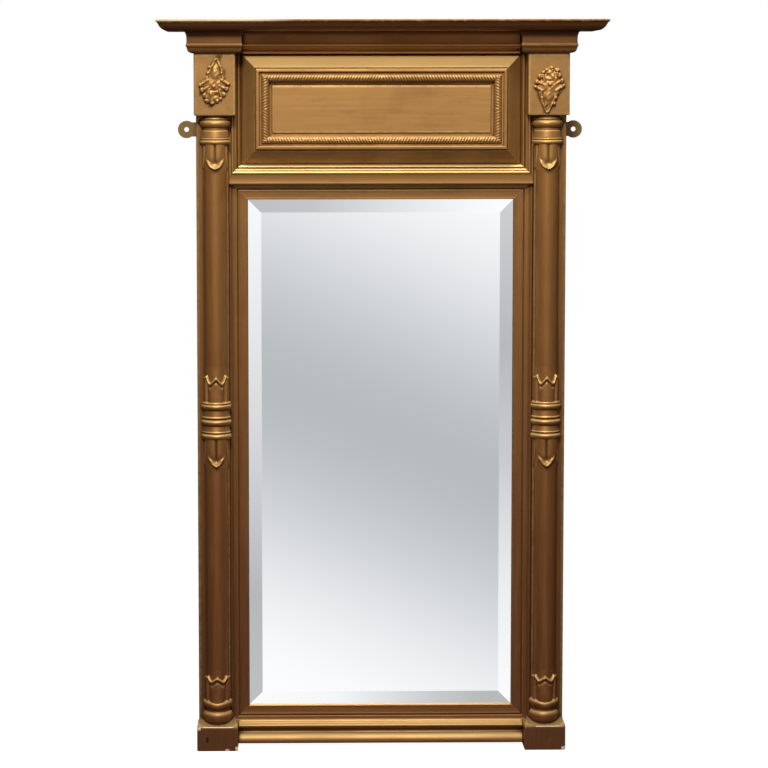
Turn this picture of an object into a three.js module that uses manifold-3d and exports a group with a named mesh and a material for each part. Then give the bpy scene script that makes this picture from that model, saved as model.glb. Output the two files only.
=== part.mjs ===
// Pier mirror in the classical style: millimetres, +Z up, the front faces -Y.
// Depths are given as distances from the wall plane, heights from the floor.
import * as THREE from 'three';
import Module from 'manifold-3d';

const wasm = await Module();
wasm.setup();

// ---------------------------------------------------------------- overall
const overallHeight = 1379;
const overallDepth = 150;
const overallWidth = 836;
const corniceOverhang = 71.5;  // past the body at each side

// ---------------------------------------------------------------- clearances
const fitGap = 0.3;          // between a cut or round piece and its neighbour
const boardGap = 1;          // round a loose board in its rebate
const holeGap = 0.15;        // radial, round a screw shank
const cutterPast = 1;        // how far a cutting body runs past the surface it opens

// ---------------------------------------------------------------- depth layers
const backFrameDepth = 36;
const groundDepth = 50;      // front of the frieze ground board
const pilasterDepth = 70;
const blockDepth = 100;
const middleBedDepth = 68;   // face of the recessed middle of the cornice, before its moulding

// ---------------------------------------------------------------- blocks
const blockWidth = 77.5;
const blockOverhang = 3;     // past the outer edge of the pilaster
const blockEdge = 1.2;       // softened arris
const cornerBlockHeight = 115;
const baseBlockHeight = 47;
const baseCapRise = 15;      // splayed cap behind the base ring

// ---------------------------------------------------------------- cornice
const corniceHeight = 62;
const coronaHeight = 20.5;
const coronaFillet = 4;
const coronaSplay = 17;      // how far the top edge leans out past the foot of the corona
const coronaStrip = 42;      // width of the corona moulding on plan
const coronaLip = 2;         // its fillet past the hollow
const topBoardDrop = 1;      // top board below the top edge of the corona
const bedFoot = 12;          // ovolo at the foot of the bed moulding
const bedFace = 13.5;        // fascia above it
const bedCrown = 18.5;       // where the hollow meets the corona
const bedFootHeight = 9;
const bedFaceHeight = 22;

// ---------------------------------------------------------------- mirror and sight moulding
const sightInset = 95.5;     // from the outer edge of the stile to the sight edge
const sightBottom = 75;
const sightLip = 10;         // frame opening past the sight edge
const plateRebate = 8;       // how far the plate reaches past the sight edge
const plateThickness = 6;
const bevelWidth = 33;       // full bevel, part of it behind the lip
const bevelDrop = 3;
const sightRun = 35;         // width of the sight moulding
const sightFascia = 18;
const sightFasciaRise = 6;
const sightQuirk = 2;
const sightQuirkDepth = 1.5;
const sightHollow = 11;
const sightHollowRise = 8;   // foot of the hollow
const sightEdgeRise = 14;

// ---------------------------------------------------------------- back frame and backboards
const railWidth = 50;
const topRailWidth = 42;
const bottomRailLift = 6;
const boardRebate = 10;      // width and depth of the rebate for the backboards
const boardThickness = 8;
const boardCount = 2;
const battenWidth = 12;

// ---------------------------------------------------------------- frieze
const tabletInset = 37.5;    // from the inner side of the corner block to the tablet
const tabletHeight = 150.5;
const slopeRun = 28;
const slopeFoot = 4;
const slopeRise = 36;
const tabletRun = 28;        // width of the tablet moulding
const tabletFillet = 8;
const tabletFilletRise = 40;
const tabletQuirk = 1.5;
const tabletQuirkRise = 32;
const tabletBead = 14;
const tabletBeadRise = 33;
const tabletInnerFillet = 3;
const panelRise = 29;
const borderThin = 6.5;      // thin bead next to the splay
const borderThick = 11;      // thick bead outside it
const borderGap = 1.5;
const borderBase = 5;        // height of the strip under the beads
const borderThickRise = 7;
const borderGapDepth = 1;
const coveHeight = 12.5;
const coveRise = 11;
const coveFoot = 2;

// ---------------------------------------------------------------- bottom rail moulding
const railMouldingLift = 5;  // above the floor
const railBeadWidth = 8;
const railBeadRise = 22;
const railCoveRise = 12;     // deepest part, between the bead and the foot
const railFootWidth = 4;
const railFootRise = 27;

// ---------------------------------------------------------------- columns
const shaftRadius = 21.5;
const ringRadius = 29;
const lipRadius = 28;
const neckRadius = 23.5;
const reedRadius = 25.5;
const leafRoot = 25;
const leafTip = 27.5;
const leafThickness = 1;     // height over which a leaf edge falls back to the shaft
const turningSteps = 16;     // facets round the half turning
const capitalRing = 17;      // height of the upper ring of the capital
const capitalLowerRoll = 10; // the larger roll of the upper ring
const capitalBase = 25;      // height of the lower ring of the capital
const capitalNeck = 5;
const capitalLeaf = 46.5;
const collarLevel = 0.504;   // middle of the belt, as a share of the way from base block to corner block
const collarRing = 16;
const collarBelt = 18;
const collarNeck = 11;
const collarLeaf = 50;
const standingLeaf = 45;
const sideLeafExtra = 18;
const leafLeast = 2;         // height of a leaf ring between two leaves
const leafSpacing = 80;      // degrees between the axes of hanging leaves
const notchAngle = 30;       // degrees from the front apex to the notch of the standing leaves
const flankAngle = 45;       // degrees from the notch to the full height of the side leaves
const notchDrop = 8;
const leafEnd = 3;           // plain shaft kept past the leaf tips in the turned piece
const baseRing = 14;
const baseNeck = 7;
const baseTorus = 22;
const basePlinth = 3;
const baseLeaf = 49;
const baseSideLeafExtra = 8;

// ---------------------------------------------------------------- ornaments and ears
const ornamentHeight = 91;
const ornamentWidth = 58;
const ornamentRise = 12;
const ornamentEdge = 3;
const leftOrnamentLift = 63; // centre above the foot of its corner block
const rightOrnamentLift = 48;
const earRadius = 16.5;
const earHoleRadius = 4.5;
const earReach = 20;         // eye centre past the edge of the stile
const earTail = 44;          // plate behind the stile
const earHeight = 27;
const earThickness = 2.5;
const earDrop = 27;          // below the foot of the corner block
const earRecess = 3;
const screwRadius = 2;
const screwHeadRadius = 3.6;
const screwLength = 22;
const innerScrew = 0.72;     // places of the two screws along the plate behind the stile
const outerScrew = 0.25;

// ---------------------------------------------------------------- derived
const wallY = overallDepth / 2;
const bodyHalf = overallWidth / 2 - corniceOverhang;
const blockOuter = bodyHalf + blockOverhang;
const blockInner = blockOuter - blockWidth;
const columnX = blockOuter - blockWidth / 2;
const corniceBottom = overallHeight - corniceHeight;
const coronaBottom = overallHeight - coronaHeight;
const cornerBlockBottom = corniceBottom - cornerBlockHeight;
const tabletHalf = blockInner - tabletInset;
const tabletBottom = corniceBottom - slopeRun - tabletHeight;
const slopeHalf = tabletHalf + slopeRun;
const slopeBottom = tabletBottom - slopeRun;
const borderRun = borderThin + borderGap + borderThick;
const groundBottom = slopeBottom - borderRun - coveHeight;
const sightHalf = bodyHalf - sightInset;
const sightTop = groundBottom - sightRun;
const sightMiddle = (sightBottom + sightTop) / 2;
const openHalf = sightHalf + sightLip;
const openBottom = sightBottom - sightLip;
const openTop = sightTop + sightLip;
const boardHalf = openHalf + boardRebate;
const boardsBottom = openBottom - boardRebate;
const boardsTop = openTop + boardRebate;
const pilasterInner = sightHalf + sightRun + fitGap;
const tabletMiddle = tabletBottom + tabletHeight / 2;
const panelHalf = tabletHalf - tabletRun;
const panelHeight = tabletHeight - 2 * tabletRun;
const collarBeltMiddle = baseBlockHeight + collarLevel * (cornerBlockBottom - baseBlockHeight);
const earZ = cornerBlockBottom - earDrop;
const plateBack = backFrameDepth + bevelDrop * (1 - plateRebate / bevelWidth) - plateThickness - fitGap;
const front = new THREE.Vector3(0, -1, 0);
const up = new THREE.Vector3(0, 0, 1);
const right = new THREE.Vector3(1, 0, 0);

// ---------------------------------------------------------------- materials
function gilt() {
  return new THREE.MeshStandardMaterial({ color: 0x9a6b38, roughness: 0.42, metalness: 0.6 });
}

function giltDark() {
  return new THREE.MeshStandardMaterial({ color: 0x7a4f2a, roughness: 0.5, metalness: 0.5 });
}

function bareWood() {
  return new THREE.MeshStandardMaterial({ color: 0xb08d5f, roughness: 0.85, metalness: 0 });
}

function silvered() {
  return new THREE.MeshStandardMaterial({ color: 0xdfe3e6, roughness: 0.04, metalness: 1 });
}

function steel() {
  return new THREE.MeshStandardMaterial({ color: 0x6f6a62, roughness: 0.5, metalness: 0.9 });
}

// ---------------------------------------------------------------- helpers
function depthToY(depth) {
  return wallY - depth;
}

function box(x0, x1, depth0, depth1, z0, z1) {
  const geometry = new THREE.BoxGeometry(x1 - x0, depth1 - depth0, z1 - z0);
  geometry.translate((x0 + x1) / 2, depthToY((depth0 + depth1) / 2), (z0 + z1) / 2);
  return geometry;
}

// A rod along the depth axis, from depth0 to depth1.
function rod(radius, x, z, depth0, depth1, facets = 12) {
  const geometry = new THREE.CylinderGeometry(radius, radius, depth1 - depth0, facets);
  geometry.translate(x, depthToY((depth0 + depth1) / 2), z);
  return geometry;
}

function toManifold(geometry) {
  const points = geometry.attributes.position;
  const index = geometry.index;
  const keys = new Map();
  const vertices = [];
  const triangles = [];
  const count = index ? index.count : points.count;
  for (let corner = 0; corner < count; corner += 3) {
    const triangle = [];
    for (let step = 0; step < 3; step += 1) {
      const at = index ? index.getX(corner + step) : corner + step;
      const point = [points.getX(at), points.getY(at), points.getZ(at)];
      const key = point.map((value) => value.toFixed(4)).join(',');
      if (!keys.has(key)) {
        keys.set(key, vertices.length / 3);
        vertices.push(...point);
      }
      triangle.push(keys.get(key));
    }
    const distinct = new Set(triangle).size === 3;
    if (distinct) {
      triangles.push(...triangle);
    }
  }
  const mesh = new wasm.Mesh({
    numProp: 3,
    vertProperties: new Float32Array(vertices),
    triVerts: new Uint32Array(triangles),
  });
  return new wasm.Manifold(mesh);
}

function fromManifold(solid) {
  const mesh = solid.getMesh();
  const geometry = new THREE.BufferGeometry();
  geometry.setAttribute('position', new THREE.BufferAttribute(new Float32Array(mesh.vertProperties), 3));
  geometry.setIndex(new THREE.BufferAttribute(new Uint32Array(mesh.triVerts), 1));
  return geometry;
}

function cut(geometry, cutters) {
  let solid = toManifold(geometry);
  for (const cutter of cutters) {
    solid = solid.subtract(toManifold(cutter));
  }
  return fromManifold(solid);
}

function join(geometries) {
  let solid = toManifold(geometries[0]);
  for (const geometry of geometries.slice(1)) {
    solid = solid.add(toManifold(geometry));
  }
  return fromManifold(solid);
}

function node(name, geometry, material) {
  const flat = geometry.index ? geometry.toNonIndexed() : geometry;
  flat.computeVertexNormals();
  const mesh = new THREE.Mesh(flat, material);
  mesh.name = name;
  return mesh;
}

function sideSign(side) {
  return side === 'left' ? -1 : 1;
}

// A moulding run. The profile lies in (outward, rise); each end leans by its mitre times the outward
// distance, so 1 is an outer frame mitre, 0 a square end.
function mouldingRun(profile, length, startMitre, endMitre, arcFacets = 5) {
  const geometry = new THREE.ExtrudeGeometry(profile, {
    depth: 1,
    bevelEnabled: false,
    curveSegments: arcFacets,
  });
  const points = geometry.attributes.position;
  for (let at = 0; at < points.count; at += 1) {
    const outward = points.getX(at);
    const atEnd = points.getZ(at) > 0.5;
    const reach = length / 2 + outward * (atEnd ? endMitre : startMitre);
    points.setZ(at, atEnd ? reach : -reach);
  }
  return geometry;
}

// Sets a run down: its profile's x follows outward, its rise follows rise, at the given origin.
function placeRun(geometry, outward, rise, x, depth, z) {
  const along = new THREE.Vector3().crossVectors(outward, rise);
  const turn = new THREE.Matrix4().makeBasis(outward, rise, along);
  turn.setPosition(x, depthToY(depth), z);
  geometry.applyMatrix4(turn);
  return geometry;
}

// The four directions of a rectangular frame of mouldings.
const frameSides = {
  top: { outward: up, across: true },
  bottom: { outward: up.clone().negate(), across: true },
  left: { outward: right.clone().negate(), across: false },
  right: { outward: right, across: false },
};

function frameRun(side, profile, width, height, middleZ, depth, mitre = 1) {
  const { outward, across } = frameSides[side];
  const length = across ? width : height;
  const reach = across ? height / 2 : width / 2;
  const run = mouldingRun(profile, length, mitre, mitre);
  return placeRun(run, outward, front, outward.x * reach, depth, middleZ + outward.z * reach);
}

function polygon(points) {
  return new THREE.Shape(points.map(([x, y]) => new THREE.Vector2(x, y)));
}

// ---------------------------------------------------------------- back frame
function stile(side) {
  const sign = sideSign(side);
  const edges = [sign * openHalf, sign * bodyHalf].sort((a, b) => a - b);
  const body = box(edges[0], edges[1], 0, backFrameDepth, 0, corniceBottom);
  const rebate = [sign * (openHalf - cutterPast), sign * boardHalf].sort((a, b) => a - b);
  const cutters = [box(rebate[0], rebate[1], -cutterPast, boardRebate, boardsBottom, boardsTop)];
  cutters.push(earRecessCutter(side));
  for (const [x, z] of earScrewPoints(side)) {
    cutters.push(rod(screwRadius + holeGap, x, z, 0, screwLength + cutterPast));
  }
  return cut(body, cutters);
}

function rail(bottom, top, depth0) {
  return box(-openHalf, openHalf, depth0, backFrameDepth, bottom, top);
}

function bottomRail() {
  const body = rail(bottomRailLift, openBottom, 0);
  return cut(body, [box(-boardHalf, boardHalf, -cutterPast, boardRebate, boardsBottom, openBottom + cutterPast)]);
}

function middleRail() {
  const body = rail(openTop, openTop + railWidth, 0);
  return cut(body, [box(-boardHalf, boardHalf, -cutterPast, boardRebate, openTop - cutterPast, boardsTop)]);
}

function topRail() {
  return rail(corniceBottom - topRailWidth, corniceBottom, 0);
}

// ---------------------------------------------------------------- backboards and battens
const boardPitch = (boardsTop - boardsBottom) / boardCount;

function backboard(index) {
  const bottom = boardsBottom + index * boardPitch + boardGap / 2;
  const half = boardHalf - boardGap / 2;
  return box(-half, half, boardRebate - boardThickness, boardRebate, bottom, bottom + boardPitch - boardGap);
}

// Fills the space between a backboard and the edge of the plate, along one side.
function batten(side) {
  const sign = sideSign(side);
  const edges = [sign * (openHalf - battenWidth), sign * openHalf].sort((a, b) => a - b);
  return box(edges[0], edges[1], boardRebate, plateBack, openBottom, openTop);
}

// ---------------------------------------------------------------- mirror plate
function mirrorPlate() {
  const halfX = sightHalf + plateRebate;
  const halfZ = sightTop - sightMiddle + plateRebate;
  const rings = [
    [0, 0],
    [0, plateThickness - bevelDrop],
    [bevelWidth, plateThickness],
  ];
  const vertices = [];
  for (const [inset, rise] of rings) {
    for (const [signX, signZ] of [[-1, -1], [1, -1], [1, 1], [-1, 1]]) {
      vertices.push([signX * (halfX - inset), depthToY(plateBack + rise), sightMiddle + signZ * (halfZ - inset)]);
    }
  }
  return stackedSolid(vertices, 4);
}

// Closes a stack of equal closed outlines (counter-clockwise seen from the last one) into a solid.
function stackedSolid(vertices, sides) {
  const rows = vertices.length / sides;
  const triangles = [];
  for (let row = 0; row < rows - 1; row += 1) {
    for (let side = 0; side < sides; side += 1) {
      const next = (side + 1) % sides;
      const low = row * sides;
      const high = low + sides;
      triangles.push([low + side, low + next, high + next], [low + side, high + next, high + side]);
    }
  }
  const last = (rows - 1) * sides;
  for (let side = 1; side < sides - 1; side += 1) {
    triangles.push([0, side + 1, side], [last, last + side, last + side + 1]);
  }
  const geometry = new THREE.BufferGeometry();
  geometry.setAttribute('position', new THREE.Float32BufferAttribute(vertices.flat(), 3));
  geometry.setIndex(triangles.flat());
  return geometry;
}

// ---------------------------------------------------------------- sight moulding
function sightProfile() {
  const quirkRise = sightFasciaRise - sightQuirkDepth;
  const hollowStart = sightFascia + sightQuirk;
  const hollowEnd = hollowStart + sightHollow;
  const shape = new THREE.Shape();
  shape.moveTo(0, 0);
  shape.lineTo(sightRun, 0);
  shape.lineTo(sightRun, sightEdgeRise);
  shape.lineTo(hollowEnd, sightEdgeRise);
  shape.quadraticCurveTo(hollowEnd, sightHollowRise, hollowStart, sightHollowRise);
  shape.lineTo(hollowStart, quirkRise);
  shape.lineTo(sightFascia, quirkRise);
  shape.lineTo(sightFascia, sightFasciaRise);
  shape.lineTo(0, sightFasciaRise);
  return shape;
}

function sightMoulding(side) {
  return frameRun(side, sightProfile(), 2 * sightHalf, sightTop - sightBottom, sightMiddle, backFrameDepth);
}

// ---------------------------------------------------------------- pilasters and blocks
function pilaster(side) {
  const sign = sideSign(side);
  const edges = [sign * pilasterInner, sign * bodyHalf].sort((a, b) => a - b);
  return box(edges[0], edges[1], backFrameDepth, pilasterDepth, baseBlockHeight, cornerBlockBottom);
}

// A block with softened front arrises, as stacked outlines from bottom to top.
function softBlock(outer, inner, depth, bottom, top) {
  const levels = [
    [blockEdge, bottom],
    [0, bottom + blockEdge],
    [0, top - blockEdge],
    [blockEdge, top],
  ];
  const vertices = [];
  for (const [inset, z] of levels) {
    vertices.push([inner + inset, depthToY(depth - inset), z]);
    vertices.push([outer - inset, depthToY(depth - inset), z]);
    vertices.push([outer - inset, depthToY(backFrameDepth), z]);
    vertices.push([inner + inset, depthToY(backFrameDepth), z]);
  }
  return stackedSolid(vertices, 4);
}

function mirrored(geometry, side) {
  if (side === 'right') {
    return geometry;
  }
  const flipped = geometry.index ? geometry.toNonIndexed() : geometry;
  const points = flipped.attributes.position;
  for (let at = 0; at < points.count; at += 3) {
    const corners = [0, 1, 2].map((step) => [
      -points.getX(at + step),
      points.getY(at + step),
      points.getZ(at + step),
    ]);
    corners.reverse().forEach((corner, step) => points.setXYZ(at + step, ...corner));
  }
  return flipped;
}

function cornerBlock(side) {
  return mirrored(softBlock(blockOuter, blockInner, blockDepth, cornerBlockBottom, corniceBottom), side);
}

function baseBlock(side) {
  const body = softBlock(blockOuter, blockInner, blockDepth, 0, baseBlockHeight);
  const capTop = baseBlockHeight + baseCapRise;
  const splay = polygon([
    [backFrameDepth, baseBlockHeight - cutterPast],
    [blockDepth - blockEdge, baseBlockHeight - cutterPast],
    [blockDepth - blockEdge, baseBlockHeight],
    [pilasterDepth + fitGap, capTop],
    [backFrameDepth, capTop],
  ]);
  const inner = blockInner + blockEdge;
  const outer = blockOuter - blockEdge;
  const run = mouldingRun(splay, outer - inner, 0, 0);
  const cap = placeRun(run, front, up, (inner + outer) / 2, 0, 0);
  const socketRadius = ringRadius + fitGap;
  const socket = new THREE.CylinderGeometry(socketRadius, socketRadius, 2 * baseCapRise, 2 * turningSteps);
  socket.rotateX(Math.PI / 2);
  socket.translate(columnX, depthToY(pilasterDepth), baseBlockHeight + baseCapRise);
  const above = capTop + cutterPast;
  const slotFront = pilasterDepth + fitGap;
  const pilasterSlot = box(pilasterInner - fitGap, outer + cutterPast, 0, slotFront, baseBlockHeight, above);
  const socketBack = box(columnX - socketRadius, columnX + socketRadius,
    pilasterDepth - cutterPast, slotFront, baseBlockHeight, above);
  const sightFoot = sightBottom - sightRun - fitGap;
  const sightFront = backFrameDepth + sightEdgeRise + fitGap;
  const sightSlot = box(blockInner - cutterPast, pilasterInner, 0, sightFront, sightFoot, above);
  const trimmed = cut(cap, [socket, socketBack, pilasterSlot]);
  return mirrored(cut(join([body, trimmed]), [sightSlot]), side);
}

// ---------------------------------------------------------------- frieze
function friezeGround() {
  const wide = sightHalf + sightRun;
  const narrow = blockInner - fitGap;
  const step = cornerBlockBottom - fitGap;
  const outline = polygon([
    [-wide, groundBottom], [wide, groundBottom], [wide, step], [narrow, step],
    [narrow, corniceBottom], [-narrow, corniceBottom], [-narrow, step], [-wide, step],
  ]);
  const plate = new THREE.ExtrudeGeometry(outline, { depth: groundDepth - backFrameDepth, bevelEnabled: false });
  plate.rotateX(Math.PI / 2);
  plate.translate(0, depthToY(backFrameDepth), 0);
  return plate;
}

function belowCornice(geometry) {
  const reach = overallWidth / 2;
  return cut(geometry, [box(-reach, reach, 0, overallDepth, corniceBottom, overallHeight)]);
}

function slope(side) {
  const profile = polygon([
    [0, 0],
    [slopeRun, 0],
    [slopeRun, slopeFoot],
    [0, slopeRise],
  ]);
  const run = frameRun(side, profile, 2 * tabletHalf, tabletHeight, tabletMiddle, groundDepth);
  return belowCornice(run);
}

function tabletProfile() {
  const filletStart = tabletRun - tabletFillet;
  const beadEnd = filletStart - tabletQuirk;
  const beadStart = beadEnd - tabletBead;
  const shape = new THREE.Shape();
  shape.moveTo(0, 0);
  shape.lineTo(tabletRun, 0);
  shape.lineTo(tabletRun, tabletFilletRise);
  shape.lineTo(filletStart, tabletFilletRise);
  shape.lineTo(filletStart, tabletQuirkRise);
  shape.lineTo(beadEnd, tabletQuirkRise);
  shape.absellipse((beadStart + beadEnd) / 2, tabletBeadRise, tabletBead / 2, tabletBead / 2, 0, Math.PI);
  shape.lineTo(tabletInnerFillet, tabletBeadRise);
  shape.lineTo(0, panelRise);
  return shape;
}

function tabletMoulding(side) {
  return frameRun(side, tabletProfile(), 2 * panelHalf, panelHeight, tabletMiddle, groundDepth);
}

function tabletPanel() {
  const halfX = panelHalf - fitGap;
  const halfZ = panelHeight / 2 - fitGap;
  return box(-halfX, halfX, groundDepth, groundDepth + panelRise, tabletMiddle - halfZ, tabletMiddle + halfZ);
}

function borderProfile() {
  const thickStart = borderThin + borderGap;
  const shape = new THREE.Shape();
  shape.moveTo(0, 0);
  shape.lineTo(borderRun, 0);
  shape.lineTo(borderRun, borderBase);
  shape.absellipse(thickStart + borderThick / 2, borderBase, borderThick / 2, borderThickRise, 0, Math.PI);
  shape.lineTo(thickStart, borderBase - borderGapDepth);
  shape.lineTo(borderThin, borderBase - borderGapDepth);
  shape.lineTo(borderThin, borderBase);
  shape.absellipse(borderThin / 2, borderBase, borderThin / 2, borderThin / 2, 0, Math.PI);
  return shape;
}

// The bead border below and beside the splays; beside the corner blocks only its thin bead remains.
function friezeBorder(side) {
  const innerWidth = 2 * slopeHalf;
  const innerHeight = 2 * (tabletMiddle - slopeBottom);
  let run = frameRun(side, borderProfile(), innerWidth, innerHeight, tabletMiddle, groundDepth);
  if (side === 'bottom') {
    run = join([run, friezeCove()]);
  }
  const keep = cornerBlockBottom - fitGap;
  const reach = overallWidth / 2;
  const cutters = [
    box(-reach, -(blockInner - fitGap), 0, overallDepth, keep, overallHeight),
    box(blockInner - fitGap, reach, 0, overallDepth, keep, overallHeight),
    box(-reach, reach, 0, overallDepth, corniceBottom, overallHeight),
  ];
  return cut(run, cutters);
}

// The cove that carries the bottom border, in one piece with it.
function friezeCove() {
  const profile = new THREE.Shape();
  profile.moveTo(0, 0);
  profile.lineTo(coveHeight, 0);
  profile.lineTo(coveHeight, coveRise);
  profile.bezierCurveTo(coveHeight / 2, coveRise, 0, coveRise / 2, 0, coveFoot);
  const run = mouldingRun(profile, 2 * (sightHalf + sightRun), 0, 0);
  return placeRun(run, up, front, 0, groundDepth, groundBottom);
}

// ---------------------------------------------------------------- bottom rail moulding
function railMoulding() {
  const height = sightBottom - sightRun - fitGap - railMouldingLift;
  const beadRadius = railBeadWidth / 2;
  const beadFoot = railBeadRise - beadRadius;
  const profile = new THREE.Shape();
  profile.moveTo(0, 0);
  profile.lineTo(height, 0);
  profile.lineTo(height, beadFoot);
  profile.absellipse(height - beadRadius, beadFoot, beadRadius, beadRadius, 0, Math.PI);
  profile.lineTo(height - railBeadWidth, railCoveRise);
  profile.quadraticCurveTo(railFootWidth, railCoveRise, railFootWidth, railFootRise);
  profile.lineTo(0, railFootRise);
  const half = blockInner - fitGap;
  const run = mouldingRun(profile, 2 * half, 0, 0);
  return placeRun(run, up, front, 0, backFrameDepth, railMouldingLift);
}

// ---------------------------------------------------------------- half-round turnings
function plainRow(z, radius) {
  return () => [z, radius];
}

// Rows of a half-round ring between two heights.
function ringRows(bottom, top, radius, neck, steps = 4) {
  const rows = [];
  for (let step = 0; step <= steps; step += 1) {
    const angle = (Math.PI * step) / steps;
    const z = bottom + ((top - bottom) * (1 - Math.cos(angle))) / 2;
    rows.push(plainRow(z, neck + (radius - neck) * Math.sin(angle)));
  }
  return rows;
}

// How far a leaf reaches at an angle: 1 at its own axis, falling to the gap between two leaves.
function hangingReach(angle) {
  const spacing = THREE.MathUtils.degToRad(leafSpacing);
  const nearest = Math.round(angle / spacing) * spacing;
  const share = Math.min(1, Math.abs(angle - nearest) / (spacing / 2));
  return Math.sqrt(1 - share * share);
}

// Rows of a leaf ring; direction is +1 for leaves that stand up and -1 for leaves that hang.
function leafRows(root, direction, reachAt, end) {
  const rows = [];
  for (const share of [0, 1 / 3, 2 / 3, 1]) {
    rows.push((angle) => [
      root + direction * share * reachAt(angle),
      leafRoot + (leafTip - leafRoot) * share * share,
    ]);
  }
  rows.push((angle) => [root + direction * (reachAt(angle) + leafThickness), shaftRadius]);
  rows.push(plainRow(end, shaftRadius));
  return rows;
}

function halfTurning(rows, side) {
  const columns = turningSteps + 1;
  const vertices = [];
  for (const row of rows) {
    for (let column = 0; column < columns; column += 1) {
      const angle = -Math.PI / 2 + (Math.PI * column) / turningSteps;
      const [z, radius] = row(angle);
      const atBack = column === 0 || column === turningSteps;
      const depth = atBack ? 0 : radius * Math.cos(angle);
      vertices.push([columnX + radius * Math.sin(angle), depthToY(pilasterDepth + depth), z]);
    }
  }
  return mirrored(stackedSolid(vertices, columns), side);
}

function shaft(bottom, top, side) {
  return halfTurning([plainRow(bottom, shaftRadius), plainRow(top, shaftRadius)], side);
}

const capitalTop = cornerBlockBottom - fitGap;
const upperRingTop = capitalTop - capitalNeck;
const upperRingBottom = upperRingTop - capitalRing;
const lowerRingTop = upperRingBottom - capitalNeck;
const lowerRingBottom = lowerRingTop - capitalBase;
const capitalEnd = lowerRingBottom - capitalLeaf - leafEnd;

function capital(side) {
  const reachAt = (angle) => leafLeast + (capitalLeaf - leafLeast) * hangingReach(angle);
  const rows = [
    ...leafRows(lowerRingBottom, -1, reachAt, capitalEnd).reverse(),
    ...ringRows(lowerRingBottom, lowerRingBottom + capitalBase / 2, ringRadius, reedRadius),
    ...ringRows(lowerRingBottom + capitalBase / 2, lowerRingTop, lipRadius, neckRadius).slice(1),
    ...ringRows(upperRingBottom, upperRingBottom + capitalLowerRoll, lipRadius, neckRadius),
    ...ringRows(upperRingBottom + capitalLowerRoll, upperRingTop, reedRadius, neckRadius).slice(1),
    plainRow(capitalTop, neckRadius),
  ];
  return halfTurning(rows, side);
}

const collarBeltTop = collarBeltMiddle + collarBelt / 2;
const collarBeltBottom = collarBeltMiddle - collarBelt / 2;
const collarRingBottom = collarBeltTop + collarNeck;
const collarTop = collarRingBottom + collarRing;
const collarLowTop = collarBeltBottom - collarNeck;
const collarLowBottom = collarLowTop - collarRing;
const collarEndLow = collarLowBottom - collarLeaf - leafEnd;
const collarEndHigh = collarTop + standingLeaf + sideLeafExtra + leafEnd;

// Standing leaves: a low apex in front, a notch beside it, and higher tips at the sides.
function standingReach(apex, extra) {
  return (angle) => {
    const degrees = Math.abs(THREE.MathUtils.radToDeg(angle));
    if (degrees < notchAngle) {
      return apex - notchDrop * degrees / notchAngle;
    }
    const share = Math.min(1, (degrees - notchAngle) / flankAngle);
    return apex - notchDrop + (extra + notchDrop) * share;
  };
}

function collar(side) {
  const reachDown = (angle) => leafLeast + (collarLeaf - leafLeast) * hangingReach(angle);
  const reachUp = standingReach(standingLeaf, sideLeafExtra);
  const rows = [
    ...leafRows(collarLowBottom, -1, reachDown, collarEndLow).reverse(),
    ...ringRows(collarLowBottom, collarLowTop, ringRadius, reedRadius),
    ...ringRows(collarBeltBottom, collarBeltTop, lipRadius, neckRadius),
    ...ringRows(collarRingBottom, collarTop, ringRadius, reedRadius),
    ...leafRows(collarTop, 1, reachUp, collarEndHigh),
  ];
  return halfTurning(rows, side);
}

const torusBottom = baseBlockHeight + basePlinth;
const torusTop = torusBottom + baseTorus;
const baseRingBottom = torusTop + baseNeck;
const baseRingTop = baseRingBottom + baseRing;
const baseEnd = baseRingTop + baseLeaf + baseSideLeafExtra + leafEnd;

function columnBase(side) {
  const reachUp = standingReach(baseLeaf, baseSideLeafExtra);
  const rows = [
    plainRow(baseBlockHeight + fitGap, neckRadius),
    ...ringRows(torusBottom, torusTop, ringRadius, neckRadius),
    ...ringRows(baseRingBottom, baseRingTop, ringRadius, reedRadius),
    ...leafRows(baseRingTop, 1, reachUp, baseEnd),
  ];
  return halfTurning(rows, side);
}

// ---------------------------------------------------------------- cast ornaments
// Half outline of the leaf cluster from its narrow end to its broad end: half width and height shares.
const ornamentOutline = [
  [0, 1],
  [0.2, 0.96],
  [0.36, 0.72],
  [0.56, 0.42],
  [0.62, 0.18],
  [0.98, -0.08],
  [0.92, -0.3],
  [0.64, -0.46],
  [0.62, -0.7],
  [0.3, -0.98],
  [0, -0.94],
];

// Rings of the relief from its rim to its middle: share of the outline and share of the rise.
const ornamentRings = [
  [1, 0],
  [0.99, ornamentEdge / ornamentRise],
  [0.86, 0.55],
  [0.66, 0.8],
  [0.4, 0.95],
];

function leafCluster(x, z, narrowUp) {
  const turn = narrowUp ? 1 : -1;
  const outline = ornamentOutline
    .concat(ornamentOutline.slice(1, -1).reverse().map(([wide, high]) => [-wide, high]))
    .reverse()
    .map(([wide, high]) => [turn * wide * ornamentWidth / 2, turn * high * ornamentHeight / 2]);
  const sides = outline.length;
  const vertices = ornamentRings.flatMap(([share, rise]) => outline.map(([wide, high]) => [
    x + wide * share,
    depthToY(blockDepth + rise * ornamentRise),
    z + high * share,
  ]));
  const back = vertices.length;
  const crown = back + 1;
  vertices.push([x, depthToY(blockDepth), z], [x, depthToY(blockDepth + ornamentRise), z]);
  const triangles = [];
  for (let side = 0; side < sides; side += 1) {
    const next = (side + 1) % sides;
    for (let ring = 0; ring < ornamentRings.length - 1; ring += 1) {
      const low = ring * sides;
      const high = low + sides;
      triangles.push(low + side, low + next, high + next, low + side, high + next, high + side);
    }
    const last = (ornamentRings.length - 1) * sides;
    triangles.push(back, next, side, crown, last + side, last + next);
  }
  const geometry = new THREE.BufferGeometry();
  geometry.setAttribute('position', new THREE.Float32BufferAttribute(vertices.flat(), 3));
  geometry.setIndex(triangles);
  return geometry;
}

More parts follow.
